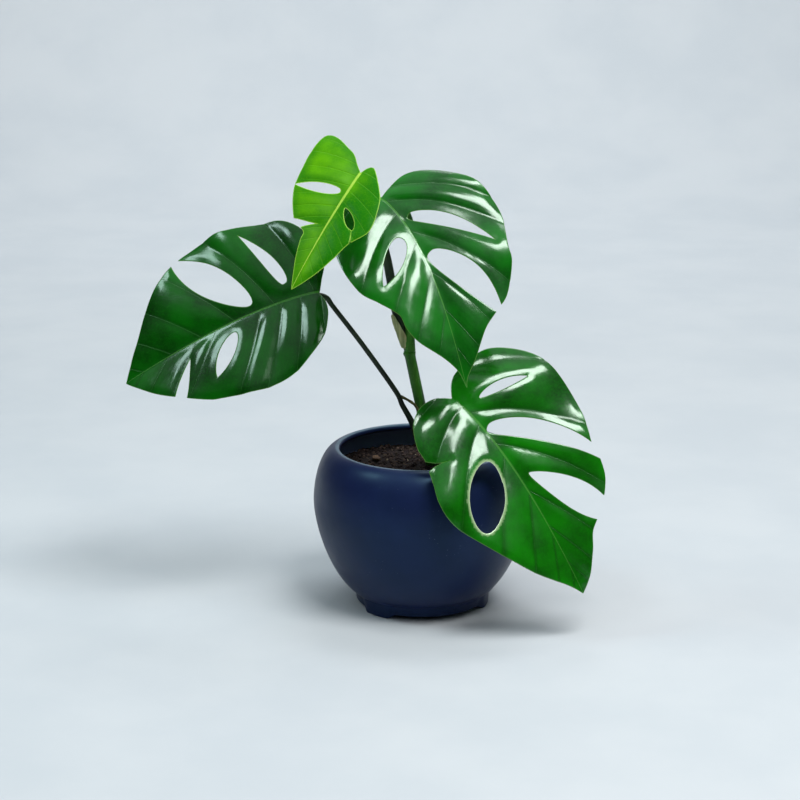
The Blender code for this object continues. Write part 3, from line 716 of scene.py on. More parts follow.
# Drawn flat, in hundredths of the length from the stalk's joint: across, then down the midrib.
# A slot is its inner end, outer end, width, bow, where it is widest, and how pointed each end is.
leaves = {
    "young": {
        "node": "leaf_young",
        "length": 120 * mm,
        "joint": (-55 * mm, -62 * mm, 264 * mm),
        "turn": -5,
        "pitch": 42,
        "roll": -29,
        "droop": 20,
        "fold": 0.22,
        "arch": 3.2,
        "rib": (3, 0),
        "sweep": (0.1, 0.012, 0.004),
        "leftVeins": [-24, -15, -6, 3, 12, 21, 30, 39, 48, 57, 66, 77, 90, 104],
        "rightVeins": [-21, -12, -3, 6, 15.5, 24.5, 33.5, 42.5, 52, 62, 73, 86, 102],
        "bulge": 0.35 * mm,
        "smoothTip": 0.5,
        "steep": 0.1,
        "wave": 0.8 * mm,
        "outline": [
            (0, -1, sharp), (-6, -6), (-12.5, -12), (-20.5, -15), (-30, -18), (-37, -17), (-40, -11),
            (-40, 4), (-38.5, 16), (-36, 29), (-33, 37), (-27, 47), (-20, 56, sharp), (-10.5, 59),
            (-9, 66), (-5.5, 78), (-1.5, 88.5), (3, 100, sharp), (9, 91), (15, 80), (20, 67),
            (24, 53), (31, 41), (32, 33), (29.5, 23), (25.5, 12.5), (20, 5), (11, -5), (5.5, -9.5), (2, -7),
        ],
        "slots": [
            ((-4, 19), (-36, 31), 8.5, 0, 0.4, 0.5, 0.8),
            ((-4.5, 49), (-26, 61), 8, 0, 0.75, 0.55, 0.6),
            ((6, 29), (21, 42.5), 7, 0, 0.55, 0.5, 0.55),
            ((20, 42), (27, 56), 1.6, 0, 0.8, 0.8, 0.7),
        ],
    },
    "upper": {
        "node": "leaf_upper",
        "length": 187 * mm,
        "joint": (-36.5 * mm, -28 * mm, 235.6 * mm),
        "turn": 0,
        "pitch": 40,
        "roll": 22,
        "droop": 22,
        "fold": 0.2,
        "arch": 2.2,
        "rib": (3.5, 6.3),
        "sweep": (0.2, 0.03, 0.012),
        "leftVeins": [-24, -14, -4, 10, 27, 44, 63, 84, 104],
        "rightVeins": [-22, -13, -5.5, 2, 20.5, 43, 62, 80, 98],
        "bulge": 1.8 * mm,
        "smoothTip": 0.8,
        "steep": 0.2,
        "wave": 1.6 * mm,
        "outline": [
            (0.5, -1, sharp), (7, -5), (16, -8), (26, -6), (37, 0.5), (45, 8), (49, 19), (49.5, 30),
            (46, 44), (44.5, 53), (37, 66), (29, 72), (21, 78), (12, 89), (5.5, 96),
            (3.5, 100.5, sharp), (2.5, 92), (-2, 84), (-10, 74), (-13.5, 66), (-14.5, 58),
            (-21, 50), (-27, 43), (-30.5, 33), (-31, 22), (-29, 11), (-22, 2), (-12, -4), (-4, -4),
        ],
        "slots": [
            ((8, 13), (41.5, 40), 7.5, -3, 0.35, 0.5, 0.9),
            ((10.5, 34), (31.5, 76), 13.5, -3.3, 0.4, 0.5, 0.85),
            ((1, 23), (-16.5, 43.5), 9.5, -0.5, 0.38, 0.5, 0.75),
        ],
    },
    "left": {
        "node": "leaf_left",
        "length": 198 * mm,
        "joint": (-92 * mm, -20 * mm, 150 * mm),
        "turn": -10,
        "pitch": 36,
        "roll": -66,
        "droop": 18,
        "fold": 0.2,
        "arch": 2.2,
        "rib": (3, -3),
        "sweep": (0.1, 0.012, 0.004),
        "leftVeins": [-25, -16, -7, 2, 21, 41, 58, 74, 90, 106],
        "rightVeins": [-18, -9, 0, 9, 18, 28, 51, 61, 76, 90, 106],
        "bulge": 1.8 * mm,
        "smoothTip": 0.8,
        "steep": 0.2,
        "wave": 1.6 * mm,
        "outline": [
            (0.5, 0.5, sharp), (6, -1), (13, 0), (22.5, 5), (29.5, 14), (34.5, 25), (36, 34),
            (35.5, 43), (32, 57), (30, 63), (24, 74), (17, 85), (8, 95), (3, 100, sharp), (-4, 94),
            (-14, 86), (-25, 78), (-35, 68), (-42, 56), (-46, 40), (-45, 30), (-44, 20), (-42, 9),
            (-37, 2), (-30, -3), (-21, -7), (-12, -6), (-5, -2.5),
        ],
        "slots": [
            ((-9.5, 13.5), (-40.5, 27), 6, 1.5, 0.3, 0.55, 0.85),
            ((-6, 31), (-42, 61), 15, 0, 0.5, 0.5, 0.7),
            ((4, 42), (22, 56), 8, 0, 0.45, 0.55, 0.7),
            ((7, 66), (33, 80), 6, 0, 0.6, 0.55, 0.7),
        ],
    },
    "lower": {
        "node": "leaf_lower",
        "length": 201 * mm,
        "joint": (33.5 * mm, -60 * mm, 55.5 * mm),
        "turn": 8,
        "pitch": 34,
        "roll": 31,
        "droop": 20,
        "fold": 0.2,
        "arch": 2.2,
        "rib": (0, 3.3),
        "sweep": (0.2, 0.03, 0.012),
        "leftVeins": [-32, -24, -16, -8, 1, 12, 30, 50, 70, 88, 106],
        "rightVeins": [-36, -24, -12, 5.5, 23, 48, 66, 84, 102],
        "bulge": 1.8 * mm,
        "smoothTip": 0.8,
        "steep": 0.2,
        "wave": 1.6 * mm,
        "outline": [
            (-1, -4.5, sharp), (-6, -8), (-12, -9), (-18, -7.5), (-24, -2.5), (-28, 6), (-28.5, 13),
            (-31, 22), (-34.5, 31), (-35, 40), (-32, 49), (-25, 63), (-15, 80), (-4, 93.5),
            (0, 100, sharp), (6.5, 94.5), (13, 86), (18, 78.5), (27, 72), (36, 63), (39, 54),
            (39, 47), (43.5, 35), (46, 22), (45.5, 9), (43, 0.5), (38, -7), (30, -13.5),
            (22, -15.8), (9, -14), (3, -10.5),
        ],
        "slots": [
            ((9, 2), (33, 6), 4.8, -1.1, 0.45, 0.6, 0.75),
            ((4, 15), (43, 60), 10, -5.5, 0.35, 0.5, 0.85),
            ((7.5, 42), (30, 80), 14, -1.3, 0.6, 0.5, 0.7),
            ((-5, 28), (-24.5, 54), 16.5, 0, 0.5, 0.5, 0.5),
            ((-19, 18.6), (-32, 14.5), 5, 0, 0.85, 0.7, 0.6),
        ],
        "rimLightSlot": 3,  # the number of the slot whose rim gets a painted highlight
    },
}
blade = {
    "spacing": 1.7 * mm,
    "edgeStep": 1.3 * mm,
    "edgeRow": 0.9 * mm,  # from the rim to the first row of points inside it
    "thickness": 0.65 * mm,
    "rib": 2.1 * mm,
    "ribWidth": 1.7 * mm,
    "crease": 2.8 * mm,
    "curl": 0.7 * mm,
    "curlWidth": 7 * mm,
    "foldWidth": 13 * mm,
    "lobeBack": 4 * mm,
    "bulgeRise": (1 * mm, 14 * mm),  # from the midrib, where the bulges start and are full
    "bulgeRoom": 20,  # mm between side veins that gives a full bulge
    "waveReach": 60 * mm,
    "waveLength": 74 * mm,
    "waveShift": (0.6, 2.4),  # right side, left side
    "rimRound": 0.3 * mm,
}


def ribOffset(leaf, down):
    tip, bow = leaf["rib"]
    share = np.clip(down / leaf["length"], 0, 1)
    return (tip * share + bow * np.sin(math.pi * share ** 0.7)) * leaf["length"] / 100


def veinStation(leaf, across, down):
    # whole numbers lie on the side veins, which leave the midrib and curve towards the tip
    straight, gain, curve = leaf["sweep"]
    unit = leaf["length"] / 100
    side = (across - ribOffset(leaf, down)) / unit
    reach = np.abs(side)
    origin = (down / unit - straight * reach - curve * reach * reach) / (1 + gain * reach)
    stations = []
    for veins in (leaf["leftVeins"], leaf["rightVeins"]):
        numbers = np.arange(len(veins))
        stations.append(np.interp(origin, veins, numbers))
    return np.where(side > 0, stations[1], stations[0])


def veinSpacing(leaf, across, down):
    # millimetres from one side vein to the next, near each place
    side = across - ribOffset(leaf, down)
    station = veinStation(leaf, across, down)
    widths = []
    for veins in (leaf["leftVeins"], leaf["rightVeins"]):
        widths.append(np.interp(station, np.arange(len(veins)), np.gradient(veins)))
    return np.where(side > 0, widths[1], widths[0]) * leaf["length"] * 10


def leafPlaces(leaf, across, down):
    # flat points to their places on the drooping, folded and arched blade
    curve = math.radians(leaf["droop"]) / leaf["length"]
    swing = curve * np.maximum(0, down)
    along = np.where(down > 0, np.sin(swing) / curve, down)
    back = (1 - np.cos(swing)) / curve
    side = across - ribOffset(leaf, down)
    reach = np.abs(side)
    crease = blade["crease"]
    lift = leaf["fold"] * (np.hypot(side, crease) - crease) - leaf["arch"] * side * side
    steep = leaf["steep"] * ease(down / leaf["length"], 0.05, 0.5)
    width = blade["foldWidth"]
    lift = lift + steep * width * (1 - np.exp(-(np.hypot(side, crease) - crease) / width))
    lift = lift - blade["lobeBack"] * (np.maximum(0, 4 * mm - down) / (30 * mm)) ** 2
    station = veinStation(leaf, across, down)
    inner = ease(reach, *blade["bulgeRise"])
    pillow = np.abs(np.sin(math.pi * station)) ** 0.9
    fade = 1 - leaf["smoothTip"] * ease(down / leaf["length"], 0.3, 0.85)
    room = np.sqrt(veinSpacing(leaf, across, down) / blade["bulgeRoom"])
    lift = lift + leaf["bulge"] * (pillow - 0.6) * inner * fade * room
    outer = (reach / blade["waveReach"]) ** 2
    shift = np.where(side > 0, *blade["waveShift"])
    lift = lift + leaf["wave"] * outer * np.sin(2 * math.pi * down / blade["waveLength"] + shift)
    x = across
    y = back - np.cos(swing) * lift
    z = -along - np.sin(swing) * lift
    turn = (
        Matrix.Rotation(math.radians(leaf["turn"]), 3, "Z")
        @ Matrix.Rotation(-math.radians(leaf["pitch"]), 3, "X")
        @ Matrix.Rotation(-math.radians(leaf["roll"]), 3, "Y")
    )
    joint = np.array(mouth) + np.array(leaf["joint"])
    return np.stack([x, y, z], axis=-1) @ np.array(turn).T + joint


def leafNormals(leaf, across, down):
    step = 0.4 * mm
    overU = leafPlaces(leaf, across + step, down) - leafPlaces(leaf, across - step, down)
    overV = leafPlaces(leaf, across, down + step) - leafPlaces(leaf, across, down - step)
    normal = np.cross(overV, overU)
    return normal / np.linalg.norm(normal, axis=-1, keepdims=True)


def slotLoop(leaf, inner, outer, width, bow, widest, innerEnd, outerEnd):
    unit = leaf["length"] / 100
    start, end = np.array(inner) * unit, np.array(outer) * unit
    along = end - start
    length = float(np.linalg.norm(along))
    side = np.array((-along[1], along[0])) / length
    power = math.log(0.5) / math.log(widest)
    steps = max(10, round(length / blade["edgeStep"]))
    near, far = [], []
    for i in range(steps + 1):
        share = (1 - math.cos(math.pi * i / steps)) / 2
        middle = start + along * share + side * (bow * 4 * share * (1 - share) * unit)
        blunt = innerEnd + (outerEnd - innerEnd) * share
        half = width / 2 * max(0, math.sin(math.pi * share ** power)) ** blunt * unit if 0 < i < steps else 0
        near.append(middle + side * half)
        far.append(middle - side * half)
    return near + far[-2:0:-1]


def forward(loop):
    area = sum(a[0] * b[1] - a[1] * b[0] for a, b in zip(loop, loop[1:] + loop[:1]))
    return loop if area > 0 else loop[::-1]


def insideLoop(places, loop):
    # which places the loop goes round, by counting its crossings to one side
    inside = np.zeros(len(places), dtype=bool)
    for a, b in zip(loop, np.roll(loop, -1, axis=0)):
        if a[1] != b[1]:
            level = (places[:, 1] >= min(a[1], b[1])) & (places[:, 1] < max(a[1], b[1]))
            crossing = a[0] + (places[:, 1] - a[1]) * (b[0] - a[0]) / (b[1] - a[1])
            inside ^= level & (places[:, 0] < crossing)
    return inside


def flatLeaf(leaf):
    unit = leaf["length"] / 100
    outline = [point * unit for point in smoothPath(leaf["outline"], blade["edgeStep"] / unit, closed=True)]
    points, faces = [], []
    for loop in [outline] + [slotLoop(leaf, *slot) for slot in leaf["slots"]]:
        faces.append(list(range(len(points), len(points) + len(loop))))
        points += [tuple(p) for p in forward(loop)]
    rims = kdtree.KDTree(len(points))
    for i, point in enumerate(points):
        rims.insert((*point, 0), i)
    rims.balance()
    for number, loop in enumerate(faces):
        inward = blade["edgeRow"] if number == 0 else -blade["edgeRow"]
        for before, index, after in zip(loop[-1:] + loop[:-1], loop, loop[1:] + loop[:1]):
            tangent = (Vector(points[after]) - Vector(points[before])).normalized()
            spot = Vector(points[index]) + Vector((-tangent.y, tangent.x)) * inward
            if rims.find((*spot, 0))[2] > blade["edgeRow"] * 0.8:
                points.append(tuple(spot))
    spacing = blade["spacing"]
    clear = blade["edgeRow"] + spacing * 0.5
    ribRows = [-2.6 * mm, -1.3 * mm, 0, 1.3 * mm, 2.6 * mm]
    for row in range(1, int(leaf["length"] / spacing)):
        down = row * spacing
        for side in ribRows:
            spot = (float(ribOffset(leaf, down)) + side, down)
            if rims.find((*spot, 0))[2] > clear:
                points.append(spot)
    wide = int(0.6 * leaf["length"] / spacing)
    for row in range(-int(0.25 * leaf["length"] / spacing), int(leaf["length"] / spacing)):
        for column in range(-wide, wide):
            spot = ((column + 0.5 * (row % 2)) * spacing, row * spacing * 0.9)
            nearRib = 0 < spot[1] and abs(spot[0] - float(ribOffset(leaf, spot[1]))) < 3.6 * mm
            if not nearRib and rims.find((*spot, 0))[2] > clear:
                points.append(spot)
    flat, _, triangles, *_ = delaunay_2d_cdt([Vector(p) for p in points], [], faces, 0, 1e-7, True)
    flat, triangles = np.array([point[:] for point in flat]), np.array(triangles)
    centres = flat[triangles].mean(axis=1)
    inside = [insideLoop(centres, np.array([points[index] for index in loop])) for loop in faces]
    triangles = triangles[inside[0] & ~np.any(inside[1:], axis=0)]
    used, order = np.unique(triangles, return_inverse=True)
    return flat[used], order.reshape(-1, 3)


def makeLeaf(leaf, paints, slotName):
    flat, triangles = flatLeaf(leaf)
    across, down = flat[:, 0], flat[:, 1]
    count = len(flat)
    edges = {}
    for a, b, c in triangles:
        for start, end in ((a, b), (b, c), (c, a)):
            edges[(start, end)] = True
    border = [(a, b) for a, b in edges if (b, a) not in edges]
    outward = np.zeros((count, 2))
    for a, b in border:
        tangent = flat[b] - flat[a]
        out = np.array((tangent[1], -tangent[0])) / max(1e-9, np.linalg.norm(tangent))
        outward[a] += out
        outward[b] += out
    rimIndex = sorted({index for pair in border for index in pair})
    rimTree = kdtree.KDTree(len(rimIndex))
    for index in rimIndex:
        rimTree.insert((*flat[index], 0), index)
    rimTree.balance()
    edgeGap = np.array([rimTree.find((*point, 0))[2] for point in flat])
    normals = leafNormals(leaf, across, down)
    curl = blade["curl"] * (1 - ease(edgeGap, -2 * mm, blade["curlWidth"]))
    places = leafPlaces(leaf, across, down) - normals * curl[:, None]
    side = across - ribOffset(leaf, down)
    taper = 1 - 0.85 * np.clip(down / leaf["length"], 0, 1)
    ridge = blade["rib"] * taper * np.exp(-(side / blade["ribWidth"]) ** 2) * ease(down, -2 * mm, 3 * mm)
    ridge = ridge * ease(edgeGap, 0, 3 * mm)
    thick = blade["thickness"] * (0.75 + 0.25 * ease(edgeGap, 0, 4 * mm)) + ridge
    under = places - normals * thick[:, None]
    norm = np.linalg.norm(outward, axis=1, keepdims=True)
    outward = outward / np.maximum(norm, 1e-9)
    rounded = outward * blade["rimRound"]
    moved = leafPlaces(leaf, across + rounded[:, 0], down + rounded[:, 1])
    middle = moved - normals * (curl + thick / 2)[:, None]
    midIndex = {index: 2 * count + place for place, index in enumerate(rimIndex)}
    points = np.vstack([places, under, middle[rimIndex]])
    faces = [(c, b, a) for a, b, c in triangles]
    faces += [(a + count, b + count, c + count) for a, b, c in triangles]
    use = [0] * len(triangles) + [1] * len(triangles)
    for a, b in border:
        faces.append((a, b, midIndex[b], midIndex[a]))
        faces.append((midIndex[a], midIndex[b], b + count, a + count))
        use += [2, 2]
    node = leaf["node"]
    piece = meshPiece(node + "_blade", points, faces, paints, use, crease=38, slot=slotName, node=node)
    station = veinStation(leaf, across, down)
    paintedRimLight = np.zeros(count)
    # a painted highlight along the rim of one hole
    if "rimLightSlot" in leaf:
        loop = np.array(slotLoop(leaf, *leaf["slots"][leaf["rimLightSlot"]]))
        gap = np.min(np.linalg.norm(flat[:, None] - loop[None], axis=2), axis=1)
        paintedRimLight = 1 - ease(gap, 0.5 * mm, 2.2 * mm)
    for name, values in (
        ("paintedRimLight", paintedRimLight),
        ("ribSide", side * 1000),
        ("veinStation", station),
        ("veinSpacing", veinSpacing(leaf, across, down)),
        ("edgeGap", edgeGap * 1000),
        ("downShare", down / leaf["length"]),
    ):
        pointValues(piece, name, np.concatenate([values, values, values[rimIndex]]))
    return piece


leafTones = {
    "upper": {"deep": colour(8, 60, 10), "fresh": colour(16, 110, 16)},
    "left": {"deep": colour(4, 46, 4), "fresh": colour(8, 90, 8), "gloss": 0.3, "coat": 0.12},
    "lower": {"deep": colour(8, 62, 5), "fresh": colour(18, 124, 8), "valleyShade": 0.55, "paintedRimLight": True},
    "young": {
        "deep": colour(20, 106, 0),
        "fresh": colour(90, 162, 0),
        "vein": colour(126, 200, 10),
        "rib": colour(180, 218, 84),
        "under": colour(112, 184, 50),
        "edge": colour(150, 204, 60),
        "roughness": 0.34,
        "gloss": 0.08,
        "coat": 0.0,
        "tipCoat": 0.6,
        "ribShow": 0.7,
        "cloud": 1.0,
        "sideShade": 0.8,
        "edgeShade": 0.5,
        "valleyShade": 0.15,
        "veinShow": 0.1,
        "ripple": 0.05,
    },
}
grownTone = {
    "vein": colour(40, 124, 26),
    "rib": colour(86, 158, 62),
    "under": colour(66, 128, 56),
    "edge": colour(70, 128, 48),
    "roughness": 0.15,
    "gloss": 0.45,
    "coat": 0.2,
    "tipCoat": 0,  # a shiny tip on one side of the midrib
    "veinShow": 0.2,
    "ribShow": 0.42,
    "cloud": 0.9,
    "sideShade": 0,
    "edgeShade": 0,
    "valleyShade": 0.4,
    "ripple": 0.06,
    "rippleTurn": 31.4,  # about five fine veins from one side vein to the next
    "paintedRimLight": False,
    # painted highlight round one hole's rim, on the top and on the cut side
    "rimLightTop": colour(176, 204, 150),
    "rimLightSide": colour(206, 222, 190),
    "dryEdge": colour(120, 92, 50),
    "sheen": (0.8, 1.0, 0.88, 1),
}


def veinMasks(leaf):
    # where each place lies among the veins, and masks that are 1 on the valleys, side veins and midrib
    station = leaf.read("veinStation")
    reach = abs(leaf.read("ribSide"))
    share = leaf.read("downShare")
    off = abs(station - station.math("ROUND")) * leaf.read("veinSpacing")
    vein = (off / reach.smooth(0, 60, 0.7, 0.25)).smooth(1.0, 0.35)
    rib = (reach / share.smooth(0.0, 1.0, 1.25, 0.25)).smooth(1.15, 0.7) * share.smooth(-0.03, 0.0)
    return station, reach, off.smooth(5.0, 0.0), vein, rib


def leafTop(name, tone):
    leaf = Paint(
        bpy.data.materials.new(name),
        Coat_Weight=tone["coat"],
        Coat_Roughness=0.12,
        Specular_IOR_Level=tone["gloss"],
        Specular_Tint=tone["sheen"],
    )
    station, reach, valley, vein, rib = veinMasks(leaf)
    patch = leaf.noise(22, 3, 0.5)
    fine = leaf.noise(420, 3, 0.6)
    green = leaf.mix(patch.smooth(0.3, 0.72, 0.0, tone["cloud"]), tone["deep"], tone["fresh"])
    green = leaf.mix(fine.smooth(0.35, 0.7) * 0.2, green, tone["fresh"])
    green = leaf.mix(valley * tone["valleyShade"], green, tone["deep"])
    if tone["edgeShade"]:
        green = leaf.mix(leaf.read("edgeGap").smooth(10, 1) * tone["edgeShade"], green, tone["deep"])
    if tone["sideShade"]:
        green = leaf.mix(leaf.read("ribSide").smooth(1, 16) * tone["sideShade"], green, tone["deep"])
    net = leaf.cells(300, "DISTANCE_TO_EDGE").smooth(0.05, 0.0)
    green = leaf.mix(net * 0.1, green, tone["vein"])
    green = leaf.mix(vein * tone["veinShow"], green, tone["vein"])
    green = leaf.mix(rib * tone["ribShow"], green, tone["rib"])
    green = leaf.mix(leaf.read("edgeGap").smooth(0.7, 0.1) * 0.4, green, tone["edge"])
    # painted highlight round the rim of one hole
    if tone["paintedRimLight"]:
        green = leaf.mix(leaf.read("paintedRimLight") * 0.75, green, tone["rimLightTop"])
    breakUp = leaf.noise(95, 4, 0.6)
    ripple = (station * tone["rippleTurn"]).math("SINE") * reach.smooth(2, 12) * breakUp
    height = fine * 0.06 + ripple * tone["ripple"] - net * 0.012 - vein * 0.5 - rib * 0.6
    if tone["tipCoat"]:
        tipSide = leaf.read("downShare").smooth(0.45, 0.6) * leaf.read("ribSide").smooth(1.0, -3.0)
        leaf.finish(Coat_Weight=tipSide * tone["tipCoat"])
    return leaf.finish(
        Base_Color=green,
        Roughness=breakUp.smooth(0.3, 0.7, tone["roughness"] - 0.05, tone["roughness"] + 0.07) + vein * 0.1,
        Normal=leaf.bump(height, 0.0005, 0.7),
    )


def leafUnder(name, tone):
    leaf = Paint(bpy.data.materials.new(name), Specular_IOR_Level=0.4)
    _, _, valley, vein, rib = veinMasks(leaf)
    patch = leaf.noise(40, 4)
    green = leaf.mix(patch.smooth(0.3, 0.7), tone["under"], between(tone["under"], tone["deep"], 0.35))
    net = leaf.cells(300, "DISTANCE_TO_EDGE").smooth(0.05, 0.0)
    green = leaf.mix(net * 0.2 + vein * 0.5, green, tone["rib"])
    green = leaf.mix(rib * 0.85, green, tone["rib"])
    height = net * 0.15 + vein * 0.9 + rib * 0.4 + valley * 0.3 + leaf.noise(380, 2) * 0.2
    rough = patch.smooth(0.3, 0.7, 0.5, 0.62)
    return leaf.finish(Base_Color=green, Roughness=rough, Normal=leaf.bump(height, 0.0005, 0.8))


def leafEdge(name, tone):
    leaf = Paint(bpy.data.materials.new(name))
    dry = leaf.noise(90, 4)
    shade = leaf.mix(dry.smooth(0.35, 0.7), tone["edge"], between(tone["edge"], tone["dryEdge"], 0.25))
    # painted highlight on the cut side round one hole
    if tone["paintedRimLight"]:
        shade = leaf.mix(leaf.read("paintedRimLight") * 0.9, shade, tone["rimLightSide"])
    return leaf.finish(
        Base_Color=shade,
        Roughness=dry.smooth(0.3, 0.7, 0.5, 0.65),
        Normal=leaf.bump(dry, 0.0002, 0.5),
    )


for name, leaf in leaves.items():
    tone = {**grownTone, **leafTones[name]}
    finishes = [
        leafTop(name + "LeafTop", tone),
        leafUnder(name + "LeafUnder", tone),
        leafEdge(name + "LeafEdge", tone),
    ]
    made = makeLeaf(leaf, finishes, "fresh_leaf" if name == "young" else "grown_leaf")
    print("leaf", name, len(made.data.polygons), "faces")


# The middle line of each, in mm from the centre of the pot's mouth.
stalks = {
    "stem": [
        (17.5, 4, -69), (15, 3, -46.5), (11.5, 2, -24), (4, 0, 14), (-2.9, 0, 47), (-10, 0, 82),
        (-11.6, 0, 90), (-12.6, 0, 96),
    ],
    "young": [
        (-11.8, 2, 91), (-16.5, 3, 106), (-24.2, 4, 130), (-28.4, 4, 156), (-33, 3, 180), (-42, 2, 211),
        (-49, 1, 234), (-53, -9, 246.5), (-54.5, -28, 252.5), (-55, -44, 254.5),
    ],
    "upper": [
        (-10.5, -2, 91), (-11, -1, 106), (-10.5, 2, 136), (-9, 6, 181), (-12, 4, 212), (-23, -4, 230),
        (-32, -14, 233.5),
    ],
    "left": [
        (8, -1, -12), (-2, -7, 6), (-9.5, -9, 26), (-18, -9, 42), (-24.5, -10, 56), (-54, -11, 99),
        (-80, -12, 134), (-86, -13, 142.5),
    ],
    "lower": [(8.5, -1, -10), (16.5, -12, 4), (23, -26, 21), (29, -42, 38.5)],
    "aerial": [(-19.5, -9, 50), (-12.5, -12, 47), (-7, -10, 42.5), (-3.5, -5, 36), (0, 0, 31)],
}


def fromMouth(points):
    return [tuple(mouth + Vector(point) * mm) for point in points]


def stalkEnd(name):
    # the last two places, square to the underside of the leaf's joint
    leaf = leaves[name]
    down = np.array([4 * mm])
    across = np.array([float(ribOffset(leaf, 4 * mm))])
    joint = leafPlaces(leaf, across, down)[0]
    normal = leafNormals(leaf, across, down)[0]
    return [tuple(joint - normal * reach) for reach in (6.5 * mm, 2.4 * mm)]


skins = {
    # dark, light and mottled tones, the fleck's tone and the roughness
    "greenStalk": (colour(18, 58, 12), colour(50, 112, 26), colour(78, 132, 44), colour(150, 168, 110), 0.34),
    # a darker copy of the green stalk's skin with the same flecks: painted shade on the stalks of the young and
    # left leaves, which run in the shadow of the leaves above
    "shadedStalk": (colour(16, 26, 18), colour(36, 50, 34), colour(52, 70, 42), colour(150, 168, 110), 0.36),
    "rootSkin": (colour(58, 58, 34), colour(104, 104, 62), colour(92, 74, 44), colour(150, 168, 110), 0.7),
}


def stalkPaint(name):
    dark, light, mottle, pale, roughness = skins[name]
    stalk = Paint(bpy.data.materials.new(name), Specular_IOR_Level=0.22)
    fibre = stalk.noise(190, 5, 0.6, vector=stalk.stretched(1, 1, 0.12))
    patch = stalk.noise(26, 4)
    skin = stalk.mix(fibre.smooth(0.3, 0.7), dark, light)
    skin = stalk.mix(patch.smooth(0.45, 0.75) * 0.6, skin, mottle)
    fleck = stalk.cells(520, vector=stalk.stretched(1, 1, 0.35)).smooth(0.14, 0.06)
    skin = stalk.mix(fleck * 0.3, skin, pale)
    return stalk.finish(
        Base_Color=skin,
        Roughness=fibre.smooth(0.3, 0.7, roughness, roughness + 0.15),
        Normal=stalk.bump(fibre + fleck * 0.4, 0.0004, 0.7),
    )


def makeStalk(name, path, radius, sides, paint, slotName, node):
    points, faces = sweep(path, radius, sides)
    meshPiece(name, points, faces, [paint], crease=60, slot=slotName, node=node)


# Radii in mm at shares along the stalk. A ring is its rise, place and width. A groove is its depth, angle
# and how much it fades towards the end. Ribs are their height, number and twist.
thickness = {
    "stem": {
        "along": (0, 0.42, 0.62, 0.93, 1.0),
        "radii": (6.8, 6.2, 4.9, 4.9, 4.3),
        "rings": [(1.1, 0.955, 0.012), (-0.35, 0.975, 0.008), (0.5, 0.60, 0.01)],
        "groove": (0, 0, 0),
        "ribs": (0.12, 7, 9),
    },
    "thick": {
        "along": (0, 0.1, 0.33, 0.66, 0.93, 1),
        "radii": (4.6, 4.4, 4.2, 3.3, 2.8, 3.2),
        "rings": [(0.35, 0.955, 0.03)],
        "groove": (0.5, 4.2, 1),
        "ribs": (0.05, 9, 0),
    },
    "thin": {
        "along": (0, 0.2, 0.33, 0.9, 1),
        "radii": (3.6, 2.9, 2.35, 2.25, 2.7),
        "rings": [(0.3, 0.95, 0.03)],
        "groove": (0.35, 4.4, 0),
        "ribs": (0.04, 9, 0),
    },
}


def stalkRadius(kind):
    shape = thickness[kind]
    depth, middle, fade = shape["groove"]
    high, number, twist = shape["ribs"]

    def radius(share, angle):
        size = np.interp(share, shape["along"], shape["radii"])
        size += sum(rise * math.exp(-((share - place) / width) ** 2) for rise, place, width in shape["rings"])
        size -= depth * math.exp(-((angle - middle) / 0.5) ** 2) * (1 - fade * share)
        return (size + high * math.cos(angle * number + share * twist)) * mm

    return radius


def rootRadius(share, angle):
    return (1.3 + 0.25 * math.sin(share * 22) * math.cos(angle * 2) - 0.2 * share) * mm


greenPaint, shadedStalkPaint, rootPaint = stalkPaint("greenStalk"), stalkPaint("shadedStalk"), stalkPaint("rootSkin")
stemPath = smoothPath(fromMouth(stalks["stem"]), 1.5 * mm)
makeStalk("stemStalk", stemPath, stalkRadius("stem"), 40, greenPaint, "green_stalk", "main_stem")
# the young and left stalks take the darker skin as painted shade
for name, kind, paint, slotName in (
    ("young", "thick", shadedStalkPaint, "dark_stalk"),
    ("upper", "thick", greenPaint, "green_stalk"),
    ("left", "thin", shadedStalkPaint, "dark_stalk"),
    ("lower", "thin", greenPaint, "green_stalk"),
):
    path = smoothPath(fromMouth(stalks[name]) + stalkEnd(name), 1.6 * mm)
    makeStalk(name + "Stalk", path, stalkRadius(kind), 32, paint, slotName, "petiole_" + name)
rootPath = smoothPath(fromMouth(stalks["aerial"]), 0.8 * mm)
makeStalk("aerialRoot", rootPath, rootRadius, 16, rootPaint, "root_skin", "aerial_root")
print("stem and stalks made")


sheath = {
    "start": 93 * mm,
    "length": 32 * mm,
    "angle": 236,
    "spread": 58,
    "thickness": 0.5 * mm,
    "rows": 60,
    "columns": 24,
    "gap": 5.6 * mm,  # from the middle of the stalk at the foot
    "flare": 1.2 * mm,
    "fray": 0.10,
    "pale": colour(176, 178, 128),
    "dark": colour(112, 122, 80),
    "rust": colour(126, 100, 62),
}


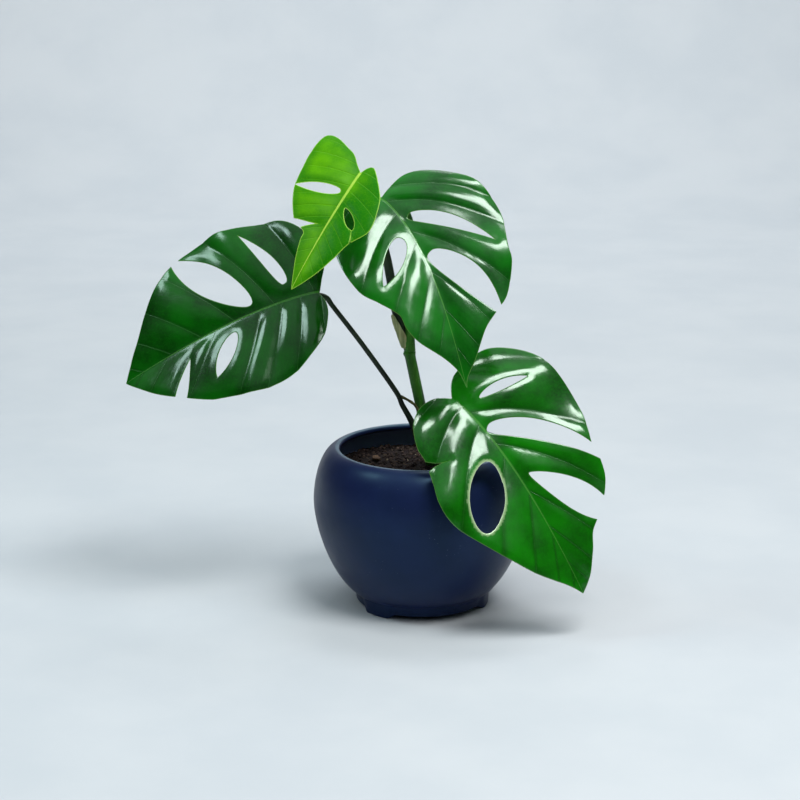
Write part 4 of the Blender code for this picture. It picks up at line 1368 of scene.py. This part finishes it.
def makeSheath():
    straw = Paint(bpy.data.materials.new("drySheath"), Specular_IOR_Level=0.3)
    grain = straw.noise(260, 5, 0.6, vector=straw.stretched(1, 1, 0.08))
    tone = straw.mix(grain.smooth(0.3, 0.7), sheath["dark"], sheath["pale"])
    tone = straw.mix(straw.noise(70, 3).smooth(0.5, 0.75) * 0.6, tone, sheath["rust"])
    rough = grain.smooth(0.3, 0.7, 0.65, 0.9)
    paint = straw.finish(Base_Color=tone, Roughness=rough, Normal=straw.bump(grain, 0.0004, 0.8))
    path = [Vector(p) for p in smoothPath(fromMouth(stalks["young"]), 0.3 * mm)]
    rows = [p for p in path if sheath["start"] <= p.z - mouth.z <= sheath["start"] + sheath["length"]]
    rows = [rows[round(i * (len(rows) - 1) / sheath["rows"])] for i in range(sheath["rows"] + 1)]
    columns = sheath["columns"]
    outer, inner = [], []
    for i, centre in enumerate(rows):
        share = i / sheath["rows"]
        spread = math.radians(sheath["spread"]) * (1 - share) ** 0.6 + math.radians(4)
        for column in range(columns + 1):
            across = 2 * column / columns - 1
            fray = sheath["fray"] * noise.noise(Vector((share * 9, across * 2, 1.7)))
            angle = math.radians(sheath["angle"]) + spread * across * (1 + fray)
            curl = 0.5 * mm * abs(across) ** 3 + 0.25 * mm * noise.noise(Vector((share * 6, across * 3, 0)))
            reach = sheath["gap"] + sheath["flare"] * share + curl
            offset = Vector((math.cos(angle), math.sin(angle), 0))
            inner.append(centre + offset * reach)
            outer.append(centre + offset * (reach + sheath["thickness"]))
    points = outer + inner
    half = len(outer)
    wide = columns + 1
    faces = []
    for i in range(sheath["rows"]):
        for column in range(columns):
            a = i * wide + column
            faces.append((a, a + 1, a + wide + 1, a + wide))
            faces.append((a + half, a + half + wide, a + half + wide + 1, a + half + 1))
    border = list(range(wide))
    border += [i * wide + columns for i in range(1, sheath["rows"] + 1)]
    border += [sheath["rows"] * wide + i for i in range(columns - 1, -1, -1)]
    border += [i * wide for i in range(sheath["rows"] - 1, 0, -1)]
    for a, b in zip(border, border[1:] + border[:1]):
        faces.append((b, a, a + half, b + half))
    meshPiece("drySheath", points, faces, [paint], crease=50, slot="straw", node="dry_sheath")


makeSheath()
print("sheath made")
